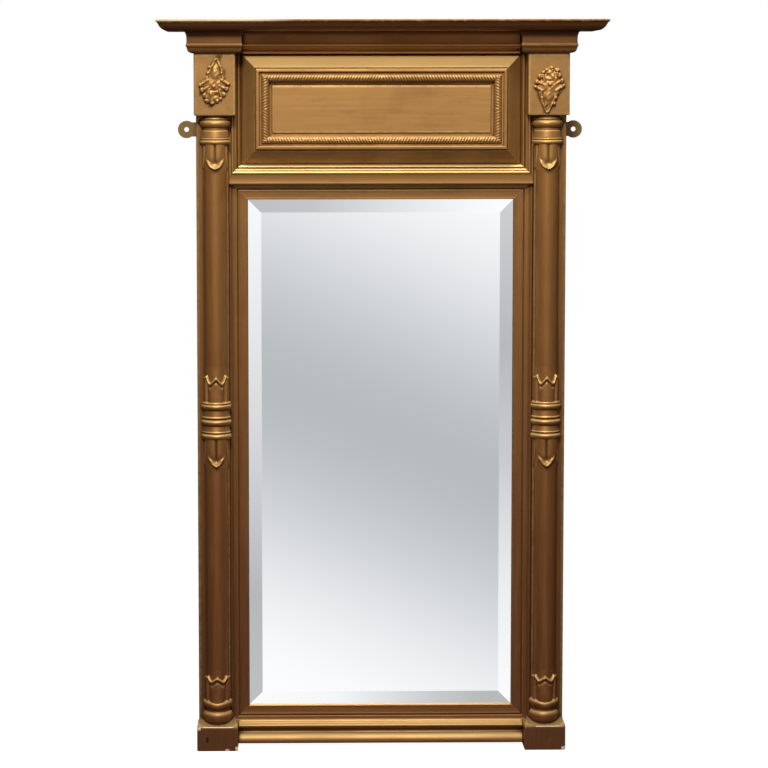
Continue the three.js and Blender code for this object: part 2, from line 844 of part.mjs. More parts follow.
// ---------------------------------------------------------------- cornice
// A block that carries the bed moulding on its front and both sides; grow widens it all round.
function bedBlock(grow = 0) {
  const hollowStart = corniceBottom + bedFootHeight + bedFaceHeight;
  const levels = [
    [0, corniceBottom],
    [3 * bedFoot / 4, corniceBottom + bedFootHeight / 4],
    [bedFoot, corniceBottom + bedFootHeight],
    [bedFace, corniceBottom + bedFootHeight],
    [bedFace, hollowStart],
    [bedFace + (bedCrown - bedFace) / 4, (hollowStart + coronaBottom) / 2],
    [bedCrown, coronaBottom - fitGap],
  ];
  const vertices = [];
  for (const [reach, z] of levels) {
    const offset = reach + grow;
    vertices.push([blockInner - offset, depthToY(blockDepth + offset), z]);
    vertices.push([blockOuter + offset, depthToY(blockDepth + offset), z]);
    vertices.push([blockOuter + offset, depthToY(groundDepth - grow), z]);
    vertices.push([blockInner - offset, depthToY(groundDepth - grow), z]);
  }
  return stackedSolid(vertices, 4);
}

function bedProfile() {
  const top = coronaBottom - fitGap - corniceBottom;
  const hollowStart = bedFootHeight + bedFaceHeight;
  const base = middleBedDepth - groundDepth;
  const shape = new THREE.Shape();
  shape.moveTo(0, 0);
  shape.lineTo(base, 0);
  shape.quadraticCurveTo(base + bedFoot, 0, base + bedFoot, bedFootHeight);
  shape.lineTo(base + bedFace, bedFootHeight);
  shape.lineTo(base + bedFace, hollowStart);
  shape.quadraticCurveTo(base + bedFace, top, base + bedCrown, top);
  shape.lineTo(0, top);
  return shape;
}

function bedMiddle() {
  const run = mouldingRun(bedProfile(), 2 * blockInner, 0, 0);
  const placed = placeRun(run, front, up, 0, groundDepth, corniceBottom);
  const cutters = ['left', 'right'].map((side) => mirrored(bedBlock(fitGap), side));
  return cut(placed, cutters);
}

function corniceCore() {
  return box(-bodyHalf, bodyHalf, 0, groundDepth, corniceBottom, coronaBottom - fitGap);
}

function coronaProfile() {
  const slopeTop = coronaHeight - coronaFillet;
  const foot = coronaStrip - coronaSplay;
  const shape = new THREE.Shape();
  shape.moveTo(0, 0);
  shape.lineTo(foot, 0);
  shape.lineTo(foot + coronaSplay / 3, slopeTop / 3);
  shape.quadraticCurveTo(coronaStrip - coronaSplay / 3, slopeTop / 2, coronaStrip - coronaLip, slopeTop);
  shape.lineTo(coronaStrip, slopeTop);
  shape.lineTo(coronaStrip, coronaHeight);
  shape.lineTo(0, coronaHeight);
  return shape;
}

const coronaInnerHalf = overallWidth / 2 - coronaStrip;
const coronaInnerDepth = overallDepth - coronaStrip;

// The profile's outward axis carries the strip width, its rise axis the height.
function coronaRun(length, startMitre, endMitre) {
  return mouldingRun(coronaProfile(), length, startMitre, endMitre);
}

function coronaFront() {
  return placeRun(coronaRun(2 * coronaInnerHalf, 1, 1), front, up, 0, coronaInnerDepth, coronaBottom);
}

function coronaReturn(side) {
  const outward = side === 'left' ? right.clone().negate() : right;
  const mitres = side === 'left' ? [1, 0] : [0, 1];
  const run = coronaRun(coronaInnerDepth, mitres[0], mitres[1]);
  return placeRun(run, outward, up, outward.x * coronaInnerHalf, coronaInnerDepth / 2, coronaBottom);
}

function topBoard() {
  const half = coronaInnerHalf - fitGap;
  return box(-half, half, 0, coronaInnerDepth - fitGap, coronaBottom, overallHeight - topBoardDrop);
}

// ---------------------------------------------------------------- ears
function earOutline(grow = 0) {
  const eyeX = bodyHalf + earReach;
  const tail = bodyHalf - earTail - grow;
  const half = earHeight / 2 + grow;
  const shape = new THREE.Shape();
  const radius = earRadius + grow;
  const meet = Math.asin(half / radius);
  shape.moveTo(tail, -half);
  shape.lineTo(eyeX - radius * Math.cos(meet), -half);
  shape.absarc(eyeX, 0, radius, Math.PI + meet, Math.PI - meet);
  shape.lineTo(tail, half);
  return shape;
}

function earScrewPoints(side) {
  const sign = sideSign(side);
  return [outerScrew, innerScrew].map((share) => [sign * (bodyHalf - earTail * share), earZ]);
}

function earRecessCutter(side) {
  const sign = sideSign(side);
  const edges = [sign * (bodyHalf - earTail - fitGap), sign * (bodyHalf + cutterPast)].sort((a, b) => a - b);
  const half = earHeight / 2 + fitGap;
  return box(edges[0], edges[1], -cutterPast, earRecess, earZ - half, earZ + half);
}

function ear(side) {
  const shape = earOutline();
  const hole = new THREE.Path();
  hole.absarc(bodyHalf + earReach, 0, earHoleRadius, 0, 2 * Math.PI, true);
  shape.holes.push(hole);
  const plate = new THREE.ExtrudeGeometry(shape, { depth: earThickness, bevelEnabled: false, curveSegments: 24 });
  plate.rotateX(Math.PI / 2);
  plate.translate(0, depthToY(earRecess - earThickness), earZ);
  const sided = mirrored(plate, side);
  const holes = earScrewPoints(side).map(([x, z]) => rod(screwRadius + holeGap, x, z, 0, earRecess + cutterPast));
  return cut(sided, holes);
}

function earScrew([x, z]) {
  const rear = earRecess - earThickness;
  return join([
    rod(screwRadius, x, z, rear / 2, screwLength),
    rod(screwHeadRadius, x, z, 0, rear),
  ]);
}

// ---------------------------------------------------------------- assembly
const group = new THREE.Group();
group.name = 'pier_mirror';

group.add(node('rail_bottom', bottomRail(), bareWood()));
group.add(node('rail_middle', middleRail(), bareWood()));
group.add(node('rail_top', topRail(), bareWood()));
for (let index = 0; index < boardCount; index += 1) {
  group.add(node(`backboard_${index + 1}`, backboard(index), bareWood()));
}
group.add(node('mirror_plate', mirrorPlate(), silvered()));
group.add(node('frieze_ground', friezeGround(), gilt()));
group.add(node('tablet_panel', tabletPanel(), gilt()));
for (const side of Object.keys(frameSides)) {
  group.add(node(`sight_moulding_${side}`, sightMoulding(side), giltDark()));
  group.add(node(`frieze_slope_${side}`, slope(side), gilt()));
  group.add(node(`tablet_moulding_${side}`, tabletMoulding(side), gilt()));
}
for (const side of ['bottom', 'left', 'right']) {
  group.add(node(`frieze_border_${side}`, friezeBorder(side), gilt()));
}
group.add(node('rail_moulding', railMoulding(), giltDark()));
for (const side of ['left', 'right']) {
  group.add(node(`stile_${side}`, stile(side), bareWood()));
  group.add(node(`plate_batten_${side}`, batten(side), bareWood()));
  group.add(node(`pilaster_${side}`, pilaster(side), giltDark()));
  group.add(node(`corner_block_${side}`, cornerBlock(side), gilt()));
  group.add(node(`base_block_${side}`, baseBlock(side), giltDark()));
  group.add(node(`capital_${side}`, capital(side), gilt()));
  group.add(node(`upper_shaft_${side}`, shaft(collarEndHigh + fitGap, capitalEnd - fitGap, side), giltDark()));
  group.add(node(`collar_${side}`, collar(side), giltDark()));
  group.add(node(`lower_shaft_${side}`, shaft(baseEnd + fitGap, collarEndLow - fitGap, side), giltDark()));
  group.add(node(`column_base_${side}`, columnBase(side), giltDark()));
  group.add(node(`bed_block_${side}`, mirrored(bedBlock(), side), gilt()));
  group.add(node(`corona_return_${side}`, coronaReturn(side), gilt()));
  group.add(node(`ear_${side}`, ear(side), steel()));
  earScrewPoints(side).forEach((point, index) => {
    group.add(node(`ear_screw_${side}_${index + 1}`, earScrew(point), steel()));
  });
}
const leftOrnamentZ = cornerBlockBottom + leftOrnamentLift;
const rightOrnamentZ = cornerBlockBottom + rightOrnamentLift;
group.add(node('ornament_left', leafCluster(-columnX, leftOrnamentZ, true), gilt()));
group.add(node('ornament_right', leafCluster(columnX, rightOrnamentZ, false), gilt()));
group.add(node('bed_middle', bedMiddle(), gilt()));
group.add(node('cornice_core', corniceCore(), bareWood()));
group.add(node('corona_front', coronaFront(), gilt()));
group.add(node('top_board', topBoard(), bareWood()));

export default group;
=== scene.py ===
"""Looks of the pier mirror: detailed pieces over the solids, materials, light and camera.

Sizes are millimetres: x from the middle, depth from the wall plane, z from the floor. place() turns them
into metres in the shared frame. Outlines of mouldings are (u, v): u across the run, v toward the front.
"""
import math

import bmesh
import bpy
import numpy as np
from mathutils import Matrix, Vector
from mathutils.bvhtree import BVHTree


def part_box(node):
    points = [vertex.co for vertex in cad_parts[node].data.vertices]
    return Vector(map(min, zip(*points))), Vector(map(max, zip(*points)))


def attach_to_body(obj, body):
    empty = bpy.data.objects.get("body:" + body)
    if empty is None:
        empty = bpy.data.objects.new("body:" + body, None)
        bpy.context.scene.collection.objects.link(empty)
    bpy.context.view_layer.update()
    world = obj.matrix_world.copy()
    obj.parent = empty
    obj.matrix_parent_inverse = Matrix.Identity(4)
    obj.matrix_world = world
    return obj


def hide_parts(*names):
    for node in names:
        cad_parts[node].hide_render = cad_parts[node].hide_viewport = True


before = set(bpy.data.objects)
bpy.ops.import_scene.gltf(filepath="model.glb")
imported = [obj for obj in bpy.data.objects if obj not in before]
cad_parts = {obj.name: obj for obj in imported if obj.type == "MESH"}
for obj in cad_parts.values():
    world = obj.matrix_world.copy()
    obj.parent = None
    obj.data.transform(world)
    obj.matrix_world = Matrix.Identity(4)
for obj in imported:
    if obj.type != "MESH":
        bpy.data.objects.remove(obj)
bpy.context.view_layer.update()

# ------------------------------------------------------------------ sizes
MM = 0.001
WALL = 75.0
SIGNS = {"left": -1, "right": 1}

CORNICE_TOP = 1379.0
CORNICE_BOTTOM = 1317.0
CORONA_BOTTOM = 1358.5
BLOCK_BOTTOM = 1202.0
BASE_TOP = 47.0
CAP_TOP = 62.0

BLOCK_OUTER = 349.5
BLOCK_INNER = 272.0
BLOCK_DEPTH = 100.0
BLOCK_BACK = 36.0
COLUMN_X = (BLOCK_OUTER + BLOCK_INNER) / 2
BODY_HALF = 346.5
PILASTER_INNER = 286.3
PILASTER_DEPTH = 70.0
GROUND = 50.0

CORONA_HALF = 418.0
CORONA_DEPTH = 150.0
CORONA_STRIP = 42.0
BED_DEPTH = 68.0
BED_END_GAP = 13.9

SIGHT_HALF = 251.0
SIGHT_BOTTOM = 75.0
SIGHT_TOP = 1044.0
SIGHT_BASE = 36.0
SIGHT_RUN = 35.0
PLATE_MARGIN = 8.0
PLATE_BACK = 32.0
PLATE_THICKNESS = 6.0
BEVEL_WIDTH = 33.0
BEVEL_DROP = 3.0

TABLET_HALF = 234.5
TABLET_BOTTOM = 1138.5
TABLET_TOP = 1289.0
TABLET_RUN = 28.0
PANEL_GROOVE = 3.1
SLOPE_RUN = 28.0
SLOPE_HALF = TABLET_HALF + SLOPE_RUN
SLOPE_BOTTOM = TABLET_BOTTOM - SLOPE_RUN
COVE_BOTTOM = 1079.0
COVE_HALF = 286.0

# The bead round the tablet: middle and radius of its section, height of its foot, pitch of its gouges.
BEAD_MIDDLE = 10.6
BEAD_RADIUS = 6.6
BEAD_FOOT = 33.0
BEAD_PITCH = 5.4

RAIL_BOTTOM = 5.0
RAIL_HEIGHT = 39.1
RAIL_HALF = 271.7

# The cap on a base block: front and back, how far its top draws in, and the seat of the column in it.
CAP_FRONT = 99.6
CAP_BACK = 70.6
CAP_SLOPE = 17.0
CAP_EDGE = 0.6
CAP_INSET = 4.2
CAP_SEAT_HALF = 33.0
CAP_SEAT_SINK = 9.0

SHAFT = 21.5
RING = 29.0
COLUMN_FOOT = 47.3
BASE_CROWN_TOP = 153.0
COLLAR_BOTTOM = 540.1
COLLAR_TOP = 731.1
CAPITAL_BOTTOM = 1100.2
CAPITAL_TOP = 1201.7
CARVED_STEP = 0.7
SHAFT_STEP = 12.0

ORNAMENT_Z = {"left": 1265.5, "right": 1249.6}
ORNAMENT_HALF = (31.0, 45.4)
ORNAMENT_PITCH = 0.55

NAIL_INSET = 11.0
NAIL_END = 30.0
NAIL_RISE = 0.8
NAIL_ROWS = 5
NAIL_SIDES = 12

RUN_PITCH = 12.0
END_STATIONS = (1.0, 2.5, 5.0)
EDGE_SHARES = (0.03, 0.07, 0.14, 0.26, 0.42, 0.58, 0.74, 0.86, 0.93, 0.97)
CREVICE_REACH = 30.0
CREVICE_RAYS = 10
RAY_START = 0.4

gilt_pieces = []


# ------------------------------------------------------------------ small maths
def place(x, depth, z):
    """Metres in the shared frame from millimetres; takes numbers or arrays."""
    x, depth, z = np.broadcast_arrays(x, depth, z)
    return np.stack([x * MM, (WALL - depth) * MM, z * MM], axis=-1).astype(float)


def smooth(value, low, high):
    """0 below low, 1 above high and a smooth step between them."""
    share = np.clip((value - low) / (high - low), 0.0, 1.0)
    return share * share * (3.0 - 2.0 * share)


def bump(value, centre, width):
    """1 at the centre, falling to 0 on both sides."""
    return np.exp(-(((value - centre) / width) ** 2))


def soften(outline, radius, steps=3):
    """Rounds the corners of a closed outline."""
    points = [np.array(point, float) for point in outline]
    result = []
    for index, corner in enumerate(points):
        before = points[index - 1] - corner
        after = points[(index + 1) % len(points)] - corner
        reach = min(radius, 0.45 * np.linalg.norm(before), 0.45 * np.linalg.norm(after))
        start = corner + before / np.linalg.norm(before) * reach
        end = corner + after / np.linalg.norm(after) * reach
        result.extend(np.array(point) for point in curve(start, corner, end, steps))
    return result


def refine(outline, pitch):
    """Adds points so that no side of a closed outline is longer than pitch."""
    result = []
    for index in range(len(outline)):
        start = np.array(outline[index], float)
        end = np.array(outline[(index + 1) % len(outline)], float)
        parts = max(1, int(math.ceil(np.linalg.norm(end - start) / pitch)))
        result.extend(start + (end - start) * part / parts for part in range(parts))
    return result


def arc(centre, radii, start, end, steps=8):
    """Points of an elliptic arc, angles in degrees."""
    angles = np.radians(np.linspace(start, end, steps + 1))
    return [(centre[0] + radii[0] * math.cos(a), centre[1] + radii[1] * math.sin(a)) for a in angles]


def curve(start, control, end, steps=8):
    """Points of a quadratic curve."""
    result = []
    for step in range(steps + 1):
        t = step / steps
        shares = ((1 - t) ** 2, 2 * t * (1 - t), t * t)
        result.append(tuple(
            shares[0] * a + shares[1] * b + shares[2] * c for a, b, c in zip(start, control, end)
        ))
    return result


# ------------------------------------------------------------------ meshes
def make_object(name, vertices, faces, material, sharp=40.0):
    """A smooth shaded mesh; edges bent by more than sharp degrees stay sharp."""
    mesh = bpy.data.meshes.new(name)
    mesh.from_pydata(np.asarray(vertices).reshape(-1, 3).tolist(), [], faces)
    mesh.update()
    mesh.shade_smooth()
    mesh.set_sharp_from_angle(angle=math.radians(sharp))
    mesh.materials.append(material)
    piece = bpy.data.objects.new(name, mesh)
    bpy.context.scene.collection.objects.link(piece)
    return piece


def make_closed(name, vertices, faces, material, sharp=40.0):
    """A closed mesh with all its faces turned outward."""
    piece = make_object(name, vertices, faces, material, sharp)
    mesh = bmesh.new()
    mesh.from_mesh(piece.data)
    bmesh.ops.recalc_face_normals(mesh, faces=mesh.faces)
    mesh.to_mesh(piece.data)
    mesh.free()
    piece.data.update()
    return piece


def grid_faces(rows, columns, wrap=False):
    """Quads over rows x columns points; wrap joins the last column to the first."""
    faces = []
    for row in range(rows - 1):
        for column in range(columns if wrap else columns - 1):
            after = (column + 1) % columns
            low = row * columns
            high = low + columns
            faces.append((low + column, low + after, high + after, high + column))
    return faces


def tube_faces(rows, columns):
    """Quads round a stack of closed outlines and a face over each end."""
    faces = grid_faces(rows, columns, wrap=True)
    faces.append(tuple(range(columns - 1, -1, -1)))
    faces.append(tuple((rows - 1) * columns + index for index in range(columns)))
    return faces


def values_of(data, name, width, kind=float):
    """One property of all vertices or edges, a row for each."""
    values = np.zeros(len(data) * width, kind)
    data.foreach_get(name, values)
    return values.reshape(-1, width)


def write_attribute(mesh, name, values):
    layer = mesh.attributes.new(name, "FLOAT", "POINT")
    layer.data.foreach_set("value", values.astype(np.float32))


def mark_relief(mesh, passes, scale, fade):
    """Writes the attribute relief: -1 in recesses, 0 on flats, 1 on edges and ridges."""
    count = len(mesh.vertices)
    points = values_of(mesh.vertices, "co", 3) / MM
    normals = values_of(mesh.vertices, "normal", 3)
    first, second = values_of(mesh.edges, "vertices", 2, int).T
    degree = np.bincount(first, minlength=count) + np.bincount(second, minlength=count)
    degree = np.maximum(degree, 1)[:, None]
    relaxed = points.copy()
    for _ in range(passes):
        total = np.stack([
            np.bincount(first, weights=relaxed[second, axis], minlength=count)
            + np.bincount(second, weights=relaxed[first, axis], minlength=count)
            for axis in range(3)
        ], axis=1)
        relaxed = 0.4 * relaxed + 0.6 * total / degree
    height = np.sum((points - relaxed) * normals, axis=1)
    write_attribute(mesh, "relief", np.clip(height / scale, -1.0, 1.0) * fade)


def ray_fan(count):
    """Directions spread over the upper half sphere, denser near its pole."""
    turns = np.arange(count) * math.pi * (3.0 - math.sqrt(5.0))
    share = (np.arange(count) + 0.5) / count
    flat = np.sqrt(share)
    return np.stack([flat * np.cos(turns), flat * np.sin(turns), np.sqrt(1.0 - share)], axis=1)


def closed_in(tree, points, normals):
    """How far other surfaces close each point in: 0 in the open, near 1 in a crevice."""
    helper = np.where(np.abs(normals[:, :1]) > 0.8, (0.0, 1.0, 0.0), (1.0, 0.0, 0.0))
    first = np.cross(normals, helper)
    first /= np.maximum(np.linalg.norm(first, axis=1, keepdims=True), 1e-9)
    second = np.cross(normals, first)
    starts = (points + normals * RAY_START * MM).tolist()
    far = CREVICE_REACH * MM
    closed = np.zeros(len(points))
    for ray in ray_fan(CREVICE_RAYS):
        directions = (first * ray[0] + second * ray[1] + normals * ray[2]).tolist()
        for index, (start, direction) in enumerate(zip(starts, directions)):
            distance = tree.ray_cast(start, direction, far)[3]
            if distance is not None:
                closed[index] += 1.0 - distance / far
    return closed / CREVICE_RAYS


def mark_crevices(pieces):
    """Writes the attribute crevice of closed_in() on every piece."""
    vertices = []
    faces = []
    for piece in pieces:
        offset = len(vertices)
        vertices.extend(values_of(piece.data.vertices, "co", 3).tolist())
        faces.extend([offset + index for index in polygon.vertices] for polygon in piece.data.polygons)
    tree = BVHTree.FromPolygons(vertices, faces)
    for piece in pieces:
        points = values_of(piece.data.vertices, "co", 3)
        normals = values_of(piece.data.vertices, "normal", 3)
        write_attribute(piece.data, "crevice", closed_in(tree, points, normals))


def attach(piece, nodes):
    """Fixes a piece to the body in place of the solids it covers; trim covers none."""
    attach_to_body(piece, "root")
    if nodes:
        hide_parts(*nodes)


def finish_piece(piece, nodes, passes=6, scale=0.5, fade=1.0):
    """Attaches a gilt piece and marks its edges and recesses for the wear, the painted edge highlight and the
    painted shade in recesses.
    """
    mark_relief(piece.data, passes, scale, fade)
    gilt_pieces.append(piece)
    attach(piece, nodes)


# ------------------------------------------------------------------ runs and blocks
def sweep_part(outline, origin, outward, rise, along, length, mitres, pitch=RUN_PITCH):
    """Vertices and faces of one moulding run; the outline is closed and lies in (outward, rise)."""
    origin = place(*origin)
    outward, rise, along = (np.array(v, float) for v in (outward, rise, along))
    section = np.array(outline, float) * MM
    span_length = length * MM
    shares = np.linspace(0.0, 1.0, max(2, int(span_length / (pitch * MM)) + 1))
    near = np.array(END_STATIONS) * MM / span_length
    shares = np.unique(np.concatenate([shares, near, 1.0 - near]))
    start = -span_length / 2 - section[:, 0] * mitres[0]
    end = span_length / 2 + section[:, 0] * mitres[1]
    rows = []
    for share in shares:
        reach = start + (end - start) * share
        rows.append(origin + section[:, :1] * outward + section[:, 1:] * rise + reach[:, None] * along)
    return np.array(rows).reshape(-1, 3), tube_faces(len(shares), len(section))


def merge_parts(parts):
    """Joins the vertices and faces of several parts."""
    vertices = []
    faces = []
    offset = 0
    for part_vertices, part_faces in parts:
        vertices.append(part_vertices)
        faces.extend(tuple(index + offset for index in face) for face in part_faces)
        offset += len(part_vertices)
    return np.concatenate(vertices), faces


FRAME_SIDES = {
    "top": ((0, 0, 1), (1, 0, 0)),
    "bottom": ((0, 0, -1), (1, 0, 0)),
    "left": ((-1, 0, 0), (0, 0, 1)),
    "right": ((1, 0, 0), (0, 0, 1)),
}


def mitred_frame(name, outline, half_width, bottom, top, base, materials, sides=FRAME_SIDES,
                 pitch=RUN_PITCH, upright_mitres=(1, 1)):
    """Runs round a rectangle; u leads outward from it.

    materials holds the one for level runs and the one for upright runs.
    """
    parts = []
    slots = []
    for side in sides:
        outward, along = FRAME_SIDES[side]
        level = side in ("top", "bottom")
        length = 2 * half_width if level else top - bottom
        reach = (top - bottom) / 2 if level else half_width
        origin = (outward[0] * reach, base, (bottom + top) / 2 + outward[2] * reach)
        mitres = (1, 1) if level else upright_mitres
        parts.append(sweep_part(outline, origin, outward, (0, -1, 0), along, length, mitres, pitch))
        slots.extend([0 if level else 1] * len(parts[-1][1]))
    vertices, faces = merge_parts(parts)
    piece = make_closed(name, vertices, faces, materials[0])
    piece.data.materials.append(materials[1])
    piece.data.polygons.foreach_set("material_index", slots)
    piece.data.update()
    return piece


def straight_run(name, outline, half, base_depth, base_z, material):
    """A level run, as long on both sides of the middle; u rises."""
    origin = (0.0, base_depth, base_z)
    vertices, faces = sweep_part(outline, origin, (0, 0, 1), (0, -1, 0), (1, 0, 0), 2 * half, (0, 0))
    return make_closed(name, vertices, faces, material)


def refine_evenly(rounded, corners):
    """Adds the same points to each straight side, closest near its ends, so that all levels match."""
    per_corner = len(rounded) // corners
    result = []
    for corner in range(corners):
        chunk = rounded[corner * per_corner:(corner + 1) * per_corner]
        following = rounded[((corner + 1) % corners) * per_corner]
        result.extend(chunk)
        result.extend(chunk[-1] + (following - chunk[-1]) * share for share in EDGE_SHARES)
    return result


def stacked_block(name, levels, back, material, side, corner):
    """A block over or under a column; levels hold how far it stands out, and z."""
    rows = []
    for reach, z in levels:
        inner, outer, front = BLOCK_INNER - reach, BLOCK_OUTER + reach, BLOCK_DEPTH + reach
        outline = [(inner, back), (outer, back), (outer, front), (inner, front)]
        rounded = refine_evenly(soften(outline, corner, 4), len(outline))
        rows.append([(SIGNS[side] * x, depth, z) for x, depth in rounded])
    rows = np.array(rows)
    vertices = place(rows[..., 0], rows[..., 1], rows[..., 2])
    return make_closed(name, vertices, tube_faces(*rows.shape[:2]), material)


# ------------------------------------------------------------------ node helpers
def new_material(name):
    """An empty node material and its tree."""
    material = bpy.data.materials.new(name)
    material.use_nodes = True
    material.node_tree.nodes.clear()
    return material, material.node_tree


def connect(tree, socket, value):
    """Links a socket to another one, or sets its number or colour."""
    if isinstance(value, bpy.types.NodeSocket):
        tree.links.new(value, socket)
    elif socket.type == "RGBA":
        socket.default_value = (*value, 1.0)
    else:
        socket.default_value = value


def add(tree, kind, **inputs):
    """Adds a shader node; an underscore in the name of an input stands for a space."""
    node = tree.nodes.new(kind)
    for key, value in inputs.items():
        connect(tree, node.inputs[key.replace("_", " ")], value)
    return node


def calculate(tree, operation, first, second=0.0):
    node = tree.nodes.new("ShaderNodeMath")
    node.operation = operation
    connect(tree, node.inputs[0], first)
    connect(tree, node.inputs[1], second)
    return node.outputs[0]


def times(tree, first, second):
    return calculate(tree, "MULTIPLY", first, second)


def plus(tree, first, second):
    return calculate(tree, "ADD", first, second)


def larger(tree, first, second):
    return calculate(tree, "MAXIMUM", first, second)


def unsigned(tree, value):
    return calculate(tree, "ABSOLUTE", value)


def span(tree, value, low, high, to_low=0.0, to_high=1.0, smoothly=True):
    """Carries the range from low to high over to another range, and holds its ends beyond it."""
    node = add(tree, "ShaderNodeMapRange", Value=value, From_Min=low, From_Max=high, To_Min=to_low,
               To_Max=to_high)
    node.interpolation_type = "SMOOTHSTEP" if smoothly else "LINEAR"
    return node.outputs[0]


def mix(tree, factor, first, second):
    """The first colour at factor 0 and the second at 1."""
    node = tree.nodes.new("ShaderNodeMix")
    node.data_type = "RGBA"
    for index, value in ((0, factor), (6, first), (7, second)):
        connect(tree, node.inputs[index], value)
    return node.outputs[2]


def noise_of(tree, coords, scale, detail=3.0, roughness=0.55, distortion=0.0):
    return add(tree, "ShaderNodeTexNoise", Vector=coords, Scale=scale, Detail=detail, Roughness=roughness,
               Distortion=distortion).outputs["Fac"]


def ramp(tree, value, stops):
    """Cool greys along a value; the stops lie between 0 and 1."""
    node = tree.nodes.new("ShaderNodeValToRGB")
    elements = node.color_ramp.elements
    while len(elements) < len(stops):
        elements.new(0.5)
    for element, (position, grey) in zip(elements, stops):
        element.position = position
        element.color = (grey, grey * 1.005, grey * 1.02, 1.0)
    connect(tree, node.inputs[0], value)
    return node.outputs[0]


def object_coords(tree):
    return tree.nodes.new("ShaderNodeTexCoord").outputs["Object"]


def parts_of(tree, vector):
    """The X, Y and Z of a vector."""
    return add(tree, "ShaderNodeSeparateXYZ", Vector=vector).outputs


def attribute(tree, name):
    node = tree.nodes.new("ShaderNodeAttribute")
    node.attribute_name = name
    return node.outputs["Fac"]


def stretched(tree, coords, scale):
    return add(tree, "ShaderNodeMapping", Vector=coords, Scale=scale).outputs[0]


def bumps_of(tree, height, strength, distance):
    """Normals of small bumps."""
    return add(tree, "ShaderNodeBump", Height=height, Strength=strength, Distance=distance).outputs[0]


def shade(tree, **inputs):
    """Ends a material with one principled shader."""
    shader = add(tree, "ShaderNodeBsdfPrincipled", **inputs)
    add(tree, "ShaderNodeOutputMaterial", Surface=shader.outputs[0])


# ------------------------------------------------------------------ materials
GRAIN = {"x": (7.0, 190.0, 190.0), "z": (190.0, 190.0, 7.0), "all": (60.0, 60.0, 60.0)}
PATCHES = {"x": (14.0, 45.0, 45.0), "z": (45.0, 45.0, 14.0), "all": (30.0, 30.0, 30.0)}
# GOLD_LOW to GOLD_HIGH runs with height as a painted shade toward the floor; GOLD_BRIGHT serves the brush
# streaks, the rubbed ridges with their painted highlight and the painted highlight on up-facing faces.
GOLD_HIGH = (0.36, 0.185, 0.055)
GOLD_LOW = (0.19, 0.07, 0.022)
GOLD_DULL = (0.20, 0.085, 0.026)
GOLD_BRIGHT = (0.76, 0.50, 0.19)
# Umber for dirt in recesses and for the painted shade there and on down-facing faces.
UMBER_DIRT_AND_SHADE = (0.095, 0.030, 0.009)
GESSO = (0.70, 0.58, 0.40)
WORN = (0.50, 0.38, 0.23)
SLOT = (0.012, 0.005, 0.003)
# A nail slot and rubbed patches on the fronts of the base blocks: x, z, half sizes, colour.
BASE_MARKS = [
    (-330.0, 21.0, 2.0, 5.5, SLOT),
    (-292.0, 0.5, 4.0, 3.6, GESSO),
    (-274.0, 3.0, 3.4, 6.0, GESSO),
    (-312.0, 46.5, 33.0, 1.5, GESSO),
    (-345.5, 43.0, 3.0, 2.6, GESSO),
    (318.0, 46.5, 24.0, 1.4, GESSO),
    (346.0, 3.0, 4.0, 4.0, GESSO),
]


def gold_coat_with_painted_light(tree, height, noises, tint, shine, streaks, under):
    """The gold paint with painted light: darker and redder toward the floor as painted shade, a painted
    highlight on up-facing ledges, and umber painted shade where it faces down.
    """
    strokes, patches, clouds = noises
    low, high, dull, bright = (tuple(np.array(gold) * tint)
                               for gold in (GOLD_LOW, GOLD_HIGH, GOLD_DULL, GOLD_BRIGHT))
    lit = tuple(np.minimum(np.array(bright) * shine, 0.97))
    facing = parts_of(tree, tree.nodes.new("ShaderNodeNewGeometry").outputs["Normal"])["Z"]
    # Painted shade: the gold darkens and reddens toward the floor, standing in for light that falls off
    # downward.
    colour = mix(tree, span(tree, height, 0.02, 1.3), low, high)
    colour = mix(tree, span(tree, clouds, 0.42, 0.75, 0.0, 0.35), colour, dull)
    colour = mix(tree, span(tree, patches, 0.5, 0.7, 0.0, 0.3), colour, dull)
    colour = mix(tree, span(tree, patches, 0.42, 0.3, 0.0, 0.22), colour, high)
    colour = mix(tree, span(tree, strokes, 0.35, 0.75, 0.0, streaks), colour, bright)
    # Painted highlight: faces turned up are lightened toward the bright gold.
    colour = mix(tree, span(tree, facing, 0.12, 0.75, 0.0, 0.9), colour, lit)
    # Painted shade: faces turned down are darkened with umber.
    return mix(tree, span(tree, times(tree, facing, -1.0), 0.1, 0.9, 0.0, under), colour, UMBER_DIRT_AND_SHADE)


def aged_and_shaded(tree, colour, clouds, flakes, tint, wear_and_highlight, dirt_and_shade):
    """Rubs the ridges brighter, as wear and as a painted edge highlight, chips the edges, and darkens the
    recesses with umber, as dirt and as painted shade; gives the colour and that dirt-and-shade mask.
    """
    relief = attribute(tree, "relief")
    # Rubbed ridges: wear that also serves as a painted highlight on edges.
    rubbed_and_highlit = times(tree, span(tree, relief, 0.25, 0.85), span(tree, flakes, 0.35, 0.62, 0.15, wear_and_highlight))
    colour = mix(tree, rubbed_and_highlit, colour, tuple(np.array(GOLD_BRIGHT) * tint))
    # Umber in recesses and crevices: dirt, and painted shade where shade falls in them.
    hollow = span(tree, times(tree, relief, -1.0), 0.1, 0.8, 0.0, dirt_and_shade)
    closed = span(tree, attribute(tree, "crevice"), 0.2, 0.6, 0.0, dirt_and_shade)
    dirt_and_shade_mask = times(tree, larger(tree, hollow, closed), span(tree, clouds, 0.2, 0.6, 0.65, 1.0))
    colour = mix(tree, dirt_and_shade_mask, colour, UMBER_DIRT_AND_SHADE)
    chips = times(tree, span(tree, relief, 0.6, 0.9), span(tree, flakes, 0.7, 0.74))
    return mix(tree, chips, colour, GESSO), dirt_and_shade_mask


